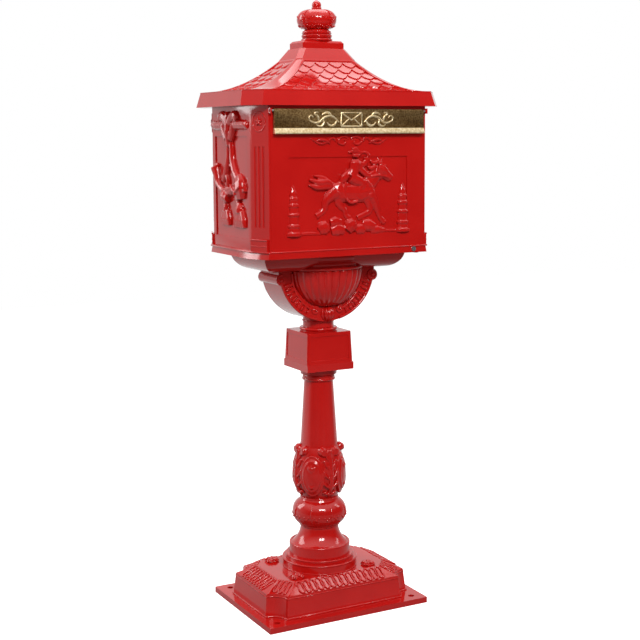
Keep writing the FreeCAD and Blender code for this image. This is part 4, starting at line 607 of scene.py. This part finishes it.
def leaf_rosette(x, y):
    """Four folded leaves round a bud on the top of the base."""
    leaf = ((3, 0.5, 4, 2), (8, 3.4, 5, 2.6), (13.5, 3.2, 1.5, 1.2))
    paths = []
    for k in range(4):
        bearing = math.radians(45 + 90 * k)
        out = Vector((math.cos(bearing), math.sin(bearing), 0))
        aside = Vector((-out.y, out.x, 0))
        for sway in (-1, 0, 1):
            paths.append([(*(out * reach + aside * sway * spread + Vector((0, 0, rise))), thick)
                          for reach, spread, rise, thick in leaf])
    piece = merged("leaf_rosette", [strands(paths), ball((0, 0, 4.5), (3.6, 3.6, 3.4), 14)])
    return laid(piece, shift(x, y, BASE_TOP))


def base_piece():
    """Base casting with its plain ribs shaved off, looped border, mouldings and rosettes."""
    base = casting_blank("base_casting")
    for foot, top, _, _, half in border_runs():
        carve(base, slope_cutter(foot, top, half))
    eased(base, 0.8)
    trim = [border_loops(), plinth_line(49, 1.2), plinth_line(12, 2.2)]
    trim += [ring(*line) for line in ((85.5, 71.4, 2), (71, 71.6, 1.2), (93, 64.6, 1.6))]
    trim += [leaf_rosette(side_x * 78, side_y * 54) for side_x in (1, -1) for side_y in (1, -1)]
    dress("base_casting_piece", [base, *trim], RED, "frame", "base_casting")


base_piece()


# Post: leaves, framed shields and curls on the vase, a ribbed bulb

def on_post(turn, level, radius):
    """Point round the post at a bearing in degrees and a level above the post's foot."""
    bearing = math.radians(turn)
    return radius * math.sin(bearing), -radius * math.cos(bearing), POST_FOOT + level


def vase_spot(turn, level, lift):
    """Point on the vase, which curves in below and above its widest level."""
    fall = 0.0081 if level < VASE_LEVEL else 0.00269
    return on_post(turn, level, VASE_RADIUS - fall * (level - VASE_LEVEL) ** 2 + lift)


def vase_path(turn, spots):
    """Strand on the vase through bearing offset, level, lift and radius."""
    return [(*vase_spot(turn + sway, level, lift), radius) for sway, level, lift, radius in spots]


def leaf_paths(turn):
    """Curling acanthus leaf: a midrib with a rolled tip and five lobes on each side."""
    midrib = ((0, 117, 0, 3), (0, 140, 2.5, 4.5), (0, 175, 3, 4), (0, 200, 4, 4), (0, 209, 7, 4))
    lobes = ((122, 128, 15), (136, 148, 20), (152, 170, 20), (170, 190, 17), (186, 203, 12))
    paths = [vase_path(turn, midrib)]
    for hand in (1, -1):
        for foot, tip, reach in lobes:
            lobe = ((0, foot, 2, 2.4), (hand * reach * 0.55, (foot + tip) / 2, 2.6, 3),
                    (hand * reach, tip, 1.5, 2.6), (hand * (reach + 4), tip - 5, 0, 1.4))
            paths.append(vase_path(turn, lobe))
    return paths


def shield_paths(turn):
    """Double border and sprig of an oval shield."""
    paths = []
    middle = 160
    for wide, tall, thick, lift in ((27, 38, 2.6, 1.6), (19, 29, 1.5, 4.2)):
        paths.append([(*vase_spot(turn + wide * math.cos(t), middle + tall * math.sin(t), lift), thick)
                      for t in [2 * math.pi * i / 20 for i in range(21)]])
    for sway in (-9, 0, 9):
        sprig = ((0, 168, 4.6, 1.4), (sway * 0.6, 176, 5.4, 2.2), (sway, 184 - abs(sway) * 0.4, 4.4, 1.2))
        paths.append(vase_path(turn, sprig))
    paths.append(vase_path(turn, ((-5, 142, 4.6, 1.4), (0, 138, 5, 2.2), (5, 142, 4.6, 1.4))))
    return paths


def vase_ornament():
    """Leaves on four bearings, domed shields between them and a pair of curls over each leaf."""
    curl_aside, curl_level = 12.5, 302
    paths = []
    lumps = []
    for turn in (0, 90, 180, 270):
        paths += leaf_paths(turn) + shield_paths(turn + 45)
        spin = upright_turn(turn)
        lumps.append(laid(ball((0, -42.5, 255), (22, 9.5, 36), 32), upright_turn(turn + 45)))
        for hand in (1, -1):
            winding = spiral((curl_aside, curl_level), 7, 1.8, 1.5, 200, 1, 1.8)
            curl = strands([[(hand * x, -44.5, z, thick) for x, z, thick in winding]])
            knob = ball((hand * curl_aside, -37.5, curl_level), (9.6, 8, 9.8))
            lumps += [laid(curl, spin), laid(knob, spin)]
    return melted([strands(paths), *lumps], 1.25, 1)


def bulb_ribs():
    """Eight upright ribs on the bulb."""
    rib = ((38, 106, 0.8), (47, 97, 1.8), (52, 84, 2.2), (48, 69, 1.8), (40, 60, 0.8))
    return strands([[(*on_post(turn, level, radius), thick) for radius, level, thick in rib]
                    for turn in range(0, 360, 45)])


def bulb_beads():
    """Sixteen groups of three beads, which hang like a swag round the bulb."""
    count, group = 16, ((-5, 79), (0, 75), (5, 79))
    step = 360 / count
    return beads([on_post(step * k + step / 2 + sway, level, 51.6)
                  for k in range(count) for sway, level in group], 2.1)


def post_piece():
    """Post casting with its carved vase, bulb and turned rings."""
    post = eased(casting_blank("post_column"), 0.5)
    trim = [vase_ornament(), bulb_ribs(), bulb_beads()]
    for level, radius, thick in ((111, 35.5, 1.8), (57, 37.5, 2.2), (20, 56.5, 2.4), (344, 29.5, 2.6)):
        trim.append(ring(POST_FOOT + level, radius, thick))
    dress("post_column_piece", [post, *trim], RED, "frame", "post_column")


post_piece()


# Bowl: gadrooned half bowls under three rims, scroll arms with cross flutes, volutes and a leaf bud

def gadroons():
    """Half bowl of thirteen lobes on the front, which fills the opening between the arms."""
    count, half_width, bulge, depth = 13, 73.5, 43, 72
    paths = []
    for i in range(count):
        bearing = math.pi * (i + 0.5) / count
        points = []
        for drop in (86, 72, 56, 40, 24, 10, 0):
            share = math.cos(math.radians(drop)) ** 0.8
            radius = max(2, 9 * share)
            points.append((-(half_width * share - radius) * math.cos(bearing),
                           HALF_BOWL_PLACE - (bulge * share - radius * 0.6) * math.sin(bearing),
                           HALF_BOWL_RIM - (depth - radius) * math.sin(math.radians(drop)), radius))
        paths.append(points)
    core = ball((0, HALF_BOWL_PLACE + 2, HALF_BOWL_RIM), (70, 38, 68), 48)
    bowl = melted([strands(paths, sides=5), core], 1.2, 2)
    trimmed(bowl, (0, 0, HALF_BOWL_RIM + 0.5), (0, 0, 1))
    return trimmed(bowl, (0, HALF_BOWL_PLACE + 1, 0), (0, 1, 0))


def on_arm(radius, angle, thick):
    """Point x, z on the front's scroll arm with a thickness."""
    turn = math.radians(angle)
    return radius * math.cos(turn), ARM_LEVEL - radius * math.sin(turn), thick


def arm_trim():
    """Borders, cross flutes, volutes and bud of the front's scroll arms."""
    volute, tip_curl = (97, 637), (26, 576.5)
    flute_count, flute_foot = 10, 96
    paths = []
    for hand in (1, -1):
        outer = [on_arm(99.5, angle, 2.8) for angle in (14, 28, 42, 56, 68, 76)]
        inner = [on_arm(74 + 0.16 * angle, angle, 2.4) for angle in (6, 20, 34, 48, 60, 68)]
        rows = [outer, inner]
        for k in range(flute_count):
            angle = 19 + 4.9 * k
            near = 80 + 0.14 * angle
            rows.append([on_arm(near, angle, 1.6), on_arm((near + flute_foot) / 2, angle, 2.7),
                         on_arm(flute_foot, angle, 1.8)])
        rows.append(spiral(volute, 9.5, 2, 1.6, 100, -1, 2.4))
        rows.append(spiral(tip_curl, 7.5, 1.6, 1.6, 60, 1, 2.2))
        paths += [[(hand * x, ARM_FACE, z, thick) for x, z, thick in row] for row in rows]
    eyes = [ball((hand * x, ARM_FACE - 1.8, z), (radius, radius, radius), 14)
            for hand in (1, -1) for (x, z), radius in ((volute, 3.4), (tip_curl, 2.6))]
    petal = ((5, 14, 1.6), (11, 7, 3), (13, -1, 3.4), (9, -9, 2.6), (3, -14, 1.4))
    bud = []
    for sway in (-60, -30, 0, 30, 60):
        t = math.radians(sway)
        bud.append([(reach * math.sin(t), HALF_BOWL_PLACE - reach * math.cos(t), BUD_LEVEL + z, thick)
                    for reach, z, thick in petal])
    heart = ball((0, HALF_BOWL_PLACE - 2, BUD_LEVEL - 0.5), (12, 12, 13))
    return merged("arm_trim", [strands(paths), strands(bud), *eyes, heart])


def bowl_piece():
    """Bowl casting with gadroons and arms on both faces, three rims over each bowl and two neck rings."""
    bowl = eased(casting_blank("support_bowl"), 0.6)
    front_parts = [gadroons(), arm_trim()]
    parts = front_parts + [mirrored(twin(piece)) for piece in front_parts]
    for level, height, lip in ((656, 6, 2.2), (664, 10.5, 1), (677, 14.8, 1.9)):
        radii = (66.4 + 4 * lip, 40.4 + 4 * lip)
        parts += [disc((0, -side * HALF_BOWL_PLACE, level), radii, height, 0.45 * height) for side in (1, -1)]
    parts += [ring(537, 33.5, 3), ring(552, 29.6, 1.6)]
    dress("support_bowl_piece", [bowl, *parts], RED, "frame", "support_bowl")


bowl_piece()


# Roof: smooth corner ridges round fields of overlapping fish scales, a shoulder and a bevelled cap

def roof_outline(share):
    """Half sizes, corner cuts and level of the roof, share 0 at the neck, 1 at the eave."""
    neck, growth, fall = (60, 42, 9, 9), (137, 85, 17, 25), 59.5
    sizes = [start + grown * share for start, grown in zip(neck, growth)]
    return (*sizes, ROOF_NECK - fall * (1 - (1 - share) ** 2))


def corner_ring(half_x, half_y, cut_x, cut_y, level):
    """Eight corners of a rectangle with cut corners."""
    near_x, near_y = half_x - cut_x, half_y - cut_y
    corners = ((-near_x, -half_y), (near_x, -half_y), (half_x, -near_y), (half_x, near_y),
               (near_x, half_y), (-near_x, half_y), (-half_x, near_y), (-half_x, -near_y))
    return [(x, y, level) for x, y in corners]


def skin(name, rings, capped=False):
    """Mesh through rings of points in millimetres, from the lowest ring up."""
    size = len(rings[0])
    spots = [Vector(spot) * MM for row in rings for spot in row]
    faces = [(i * size + j, i * size + (j + 1) % size, (i + 1) * size + (j + 1) % size, (i + 1) * size + j)
             for i in range(len(rings) - 1) for j in range(size)]
    if capped:
        faces.append([(len(rings) - 1) * size + j for j in range(size)])
    mesh = bpy.data.meshes.new(name)
    mesh.from_pydata(spots, [], faces)
    piece = bpy.data.objects.new(name, mesh)
    bpy.context.scene.collection.objects.link(piece)
    return piece


def scale_sink(across, half, along, length):
    """Depth of the scale field below the ridges, at a place across and along a face of the roof."""
    rows, width, tallest, ridge, foot_band = 7, 29, 3.4, 5, 2
    if half - abs(across) < ridge or along < ridge or along > length - foot_band:
        return 0
    pitch = (length - ridge) / rows
    for row in range(rows + 1):
        tip = 4 + (row + 1) * pitch
        place = (across / width + 0.5 * (row % 2)) % 1
        if along < tip - 0.8 * pitch * (2 * place - 1) ** 2:
            return tallest * min(1, (tip - along) / (1.9 * pitch))
    return 0


def scaled_roof():
    """Skin of the roof from the eave up to the neck."""
    steps, across_counts, lift = 84, (224, 150), 2
    outlines = [roof_outline(i / steps) for i in range(steps + 1)]
    rings = [[] for _ in outlines]
    for side in range(4):
        spin = Matrix.Rotation(math.radians(90 * side), 3, "Z")
        count = across_counts[side % 2]
        profile = []
        for half_x, half_y, cut_x, cut_y, level in outlines:
            reach, half = (half_x, half_y - cut_y) if side % 2 else (half_y, half_x - cut_x)
            profile.append((reach, level, half))
        gone = [0]
        for (near, high, _), (far, low, _) in zip(profile, profile[1:]):
            gone.append(gone[-1] + math.hypot(far - near, high - low))
        for i, (reach, level, half) in enumerate(profile):
            first, last = profile[max(0, i - 1)], profile[min(steps, i + 1)]
            out = Vector((0, -(first[1] - last[1]), last[0] - first[0])).normalized()
            for k in range(count + 1):
                across = half * (2 * k / count - 1)
                sink = scale_sink(across, half, gone[i], gone[-1])
                rings[i].append(spin @ (Vector((across, -reach, level)) + out * (lift - sink)))
    skirt = [(spot.x, spot.y, EAVE_TOP - 0.6) for spot in rings[-1]]
    return smooth(skin("scaled_roof", [skirt, *rings[::-1]]), 40)


def roof_piece():
    """Roof of the casting's eave, the scaled skin with a lining under it, and the stepped cap."""
    eave = eased(trimmed(casting_blank("roof_casting"), (0, 0, EAVE_TOP), (0, 0, 1)), 0.6)
    thickness = (4, 4, 0, 0, 4)
    inside = [corner_ring(*[outer - less for outer, less in zip(roof_outline(share), thickness)])
              for share in (1, 0.8, 0.6, 0.4, 0.2, 0)]
    lining = edited(skin("lining", inside), lambda: bpy.ops.mesh.flip_normals())
    cap_steps = ((62, 44, 9, 9, 1038), (61.6, 43.6, 9, 9, 1040.5), (48.6, 32, 9, 9, 1059),
                 (47.6, 31, 9, 9, 1060.5), (43, 27, 1, 1, 1060.6), (43, 27, 1, 1, 1071), (39, 24, 1, 1, 1075))
    cap = eased(skin("roof_cap", [corner_ring(*step) for step in cap_steps], True), 0.6)
    dress("roof_casting_piece", [eave, lining, scaled_roof(), cap], RED, "frame", "roof_casting")


roof_piece()


# Finial: beaded crown

def on_crown(bearing, rise, lift):
    """Point on the finial's bulb at a bearing and a rise above its middle, both in degrees."""
    turn, up = math.radians(bearing), math.radians(rise)
    reach = 14 + 23 * math.cos(up) + lift
    return reach * math.sin(turn), -reach * math.cos(turn), CROWN_LEVEL + 17.5 * math.sin(up)


def crown_beads():
    """Four upright rows of beads, a waved row round the foot and swags between the upright rows."""
    upright = [on_crown(20 + 90 * k, rise, 1.4) for k in range(4) for rise in range(-66, 67, 11)]
    waved = [on_crown(7.5 * k, -52 + 16 * abs(math.sin(math.radians(30 * k))), 0.6) for k in range(48)]
    swags = [on_crown(20 + 90 * k + 10 * i, 8 + 14 * math.cos(math.radians(40 * (i - 4.5))), 0.2)
             for k in range(4) for i in range(1, 9)]
    return [beads(upright, 2.1), beads(waved, 1.9), beads(swags, 1.5)]


def finial_piece():
    """Finial casting with beads, turned rings and a round knob."""
    finial = eased(casting_blank("finial"), 0.4)
    lines = ((1077.5, 27, 2.4), (1085, 26.4, 2.2), (1092, 25, 2), (1132, 10, 2), (1136, 7.6, 1.8))
    trim = [*crown_beads(), *[ring(*line) for line in lines], ball((0, 0, 1141.5), (8.8, 8.8, 8.2))]
    dress("finial_piece", [finial, *trim], RED, "frame", "finial")


finial_piece()


# Mail flap: dark plate, a lip in lighter brass that paints its highlight, a plain envelope between leaf
# scrolls

def flap_ornament():
    """Raised envelope between leaf scrolls, x and z from the middle of the plate."""
    scrolls = both_hands([
        [(26, -5, 1.2), (38, 5, 1.9), (54, 4, 2.2), (67, -5, 2), (80, -4, 1.6), (86, 2, 1.4), (82, 7, 1.3),
         (77, 4, 1)],
        [(40, 5, 1.2), (46, 11, 2.6), (54, 11.5, 1.8), (60, 8, 0.8)],
        [(30, -2, 1), (36, -10, 2.5), (45, -10, 1.8), (50, -5, 0.8)],
        [(58, 1, 1.2), (57, -8, 2.4), (64, -12, 1.8), (71, -9, 0.8)],
        [(66, -4, 1.3), (68, 5, 2), (74, 11, 1.6), (67, 12.5, 0.9)],
    ])
    folds = [
        [(-21, 12, 1.5), (0, -1, 1.5), (21, 12, 1.5)],
        [(-21, -12, 1.2), (-5, 1.5, 1.2)],
        [(21, -12, 1.2), (5, 1.5, 1.2)],
        [(-21, -12, 1.6), (21, -12, 1.6), (21, 12, 1.6), (-21, 12, 1.6), (-21, -12, 1.6)],
    ]
    depth = 0.8
    envelope = strands([[(x, 0, z, radius) for x, z, radius in points] for points in folds], straight=True)
    laid(envelope, squeeze(depth))
    return laid(merged("flap_ornament", [relief(scrolls, depth), envelope]), shift(0, FLAP_FACE, 929.5))


def flap_pieces():
    """Dark plate above; lip and ornament in the lighter brass that paints the lip's highlight, both on the
    flap.
    """
    plate = trimmed(casting_blank("mail_flap"), (0, 0, LIP_TOP), (0, 0, -1))
    lip = trimmed(casting_blank("mail_flap"), (0, 0, LIP_TOP), (0, 0, 1))
    carve(plate, block((-120, -150, LIP_TOP + 0.3), (120, FLAP_FACE - SHAVE, 960)))
    eased(plate, 0.4)
    eased(lip, 0.6)
    dress("mail_flap_piece", [plate], DARK_BRASS, "flap", "mail_flap")
    # Lip and ornament take the lighter brass, which paints the lip's highlight
    dress("mail_flap_trim", [lip, flap_ornament()], HIGHLIGHT_PAINTED_BRASS, "flap")


flap_pieces()


# Castings with the CAD's own shape and eased edges, and the nodes that are shown as they are

EASED_NODES = {"capital_block": 1.2, "floor_tray": 1.2, "back_panel": 0.8, "back_door": 1.0}
SCULPTED_NODES = {"front_panel", "left_side", "right_side", "base_casting", "post_column", "support_bowl",
                  "roof_casting", "finial", "mail_flap"}


def tray_bead():
    """Fine bead round the top of the tray's rim."""
    rim = corner_ring(183.2, 125, 19, 41, 697)
    return strands([[(*spot, 1.5) for spot in rim]], closed=True, straight=True)


for node, width in EASED_NODES.items():
    pieces = [eased(casting_blank(node), width)]
    if node == "floor_tray":
        pieces.append(tray_bead())
    dress(f"{node}_piece", pieces, FINISHES[SLOT_OF[node]], BODY_OF[node], node)

for node, part in frame["nodes"].items():
    if node not in SCULPTED_NODES and node not in EASED_NODES:
        part.data.materials.clear()
        part.data.materials.append(FINISHES[SLOT_OF[node]])


# Studio: white floor, soft lamps and the photograph's viewpoint

def ray_mix(tree, rays_named, plain_value, named_value):
    """Value for the named kinds of ray, and another one for the rest."""
    rays = tree.nodes.new("ShaderNodeLightPath")
    choice = tree.nodes.new("ShaderNodeMapRange")
    choice.inputs["To Min"].default_value = plain_value
    choice.inputs["To Max"].default_value = named_value
    tree.links.new(rays.outputs[rays_named], choice.inputs["Value"])
    return choice.outputs[0]


def floor_material():
    """White to the camera, dull grey in the light that it throws back, bright in the gloss from behind."""
    material = bpy.data.materials.new("white studio floor")
    material.use_nodes = True
    tree = material.node_tree
    tree.nodes.clear()
    output = tree.nodes.new("ShaderNodeOutputMaterial")
    total = tree.nodes.new("ShaderNodeAddShader")
    paint = tree.nodes.new("ShaderNodeBsdfDiffuse")
    lift = tree.nodes.new("ShaderNodeEmission")
    tree.links.new(ray_mix(tree, "Is Camera Ray", 0.22, 0.85), paint.inputs["Color"])
    place = tree.nodes.new("ShaderNodeNewGeometry")
    parts = tree.nodes.new("ShaderNodeSeparateXYZ")
    behind = tree.nodes.new("ShaderNodeMapRange")
    behind.inputs["From Min"].default_value, behind.inputs["From Max"].default_value = -0.4, 0.9
    behind.inputs["To Min"].default_value, behind.inputs["To Max"].default_value = 0, 0.8
    gloss = tree.nodes.new("ShaderNodeMath")
    gloss.operation = "MULTIPLY"
    strength = tree.nodes.new("ShaderNodeMath")
    strength.operation = "ADD"
    tree.links.new(place.outputs["Position"], parts.inputs[0])
    tree.links.new(parts.outputs["Y"], behind.inputs["Value"])
    tree.links.new(behind.outputs[0], gloss.inputs[0])
    tree.links.new(ray_mix(tree, "Is Glossy Ray", 0, 1), gloss.inputs[1])
    tree.links.new(gloss.outputs[0], strength.inputs[0])
    tree.links.new(ray_mix(tree, "Is Camera Ray", 0, 0.75), strength.inputs[1])
    tree.links.new(strength.outputs[0], lift.inputs["Strength"])
    tree.links.new(paint.outputs[0], total.inputs[0])
    tree.links.new(lift.outputs[0], total.inputs[1])
    tree.links.new(total.outputs[0], output.inputs["Surface"])
    return material


def white_world(light, front_gloss, top_gloss):
    """White to the camera; in the paint's gloss a dim room in front and a bright ceiling."""
    world = bpy.data.worlds.new("white studio")
    bpy.context.scene.world = world
    world.use_nodes = True
    tree = world.node_tree
    back = tree.nodes["Background"]
    back.inputs["Color"].default_value = (1, 1, 1, 1)
    place = tree.nodes.new("ShaderNodeTexCoord")
    parts = tree.nodes.new("ShaderNodeSeparateXYZ")
    tree.links.new(place.outputs["Generated"], parts.inputs[0])
    back_gloss = 0.95
    spans = []
    for axis, start, end, first, last in (("Y", -0.3, 0.8, front_gloss, back_gloss),
                                          ("Z", 0.35, 0.8, 0, top_gloss)):
        span = tree.nodes.new("ShaderNodeMapRange")
        span.inputs["From Min"].default_value, span.inputs["From Max"].default_value = start, end
        span.inputs["To Min"].default_value, span.inputs["To Max"].default_value = first, last
        tree.links.new(parts.outputs[axis], span.inputs["Value"])
        spans.append(span.outputs[0])
    gloss = tree.nodes.new("ShaderNodeMath")
    gloss.operation = "MAXIMUM"
    tree.links.new(spans[0], gloss.inputs[0])
    tree.links.new(spans[1], gloss.inputs[1])
    choice = tree.nodes.new("ShaderNodeMix")
    tree.links.new(ray_mix(tree, "Is Glossy Ray", 0, 1), choice.inputs["Factor"])
    tree.links.new(ray_mix(tree, "Is Camera Ray", light, 1), choice.inputs["A"])
    tree.links.new(gloss.outputs[0], choice.inputs["B"])
    tree.links.new(choice.outputs["Result"], back.inputs["Strength"])


def soft_lamp(name, place, aim_level, size, power):
    """Rectangular lamp that points at the object's axis."""
    bpy.ops.object.light_add(type="AREA", location=place)
    lamp = bpy.context.object
    lamp.name = name
    lamp.data.shape = "RECTANGLE"
    lamp.data.size, lamp.data.size_y = size
    lamp.data.energy = power
    lamp.rotation_euler = (Vector((0, 0, aim_level)) - Vector(place)).to_track_quat("-Z", "Y").to_euler()


def photo_camera():
    """Camera at the photograph's viewpoint, fitted to the edges that the photograph shows."""
    turn, distance, height = math.radians(27.944), 2.4022, 0.9
    pitch, roll, aim_off = math.radians(7.213), math.radians(0.314), math.radians(0.0848)
    focal_pixels, picture_pixels, sensor_width, lens_shift = 1267.4, 640, 36, -0.0364
    bpy.ops.object.camera_add(location=(-distance * math.sin(turn), -distance * math.cos(turn), height))
    camera = bpy.context.object
    yaw = turn + aim_off
    ahead = Vector((math.sin(yaw) * math.cos(pitch), math.cos(yaw) * math.cos(pitch), -math.sin(pitch)))
    camera.rotation_euler = (ahead.to_track_quat("-Z", "Y") @ Euler((0, 0, -roll)).to_quaternion()).to_euler()
    camera.data.sensor_width = sensor_width
    camera.data.lens = sensor_width * focal_pixels / picture_pixels
    camera.data.shift_y = lens_shift
    bpy.context.scene.camera = camera


def studio_floor():
    """Wide floor just under the base, which belongs to the studio."""
    bpy.ops.object.select_all(action="DESELECT")
    bpy.ops.mesh.primitive_plane_add(size=9, location=(0, 0, -0.2 * MM))
    floor = bpy.context.object
    floor.name = "studio_floor"
    floor.data.materials.append(floor_material())


# Place in metres, level aimed at, width and height, and watts of each lamp
LAMPS = {
    "key lamp": ((-1.0, -2.4, 2.3), 0.6, (0.6, 0.6), 34),
    "second key lamp": ((-0.35, -2.7, 2.3), 0.6, (0.6, 0.6), 34),
    "left softbox": ((-2.0, 1.9, 1.8), 0.6, (1.2, 1.8), 39),
    "right softbox": ((2.6, -0.6, 1.9), 0.6, (0.6, 1.2), 9),
    "top softbox": ((0.5, 0.5, 3.0), 0.5, (1.8, 1.8), 32),
}

studio_floor()
white_world(light=0.46, front_gloss=0.04, top_gloss=1.4)
for name, setting in LAMPS.items():
    soft_lamp(name, *setting)
photo_camera()
bpy.context.scene.view_settings.view_transform = "Standard"
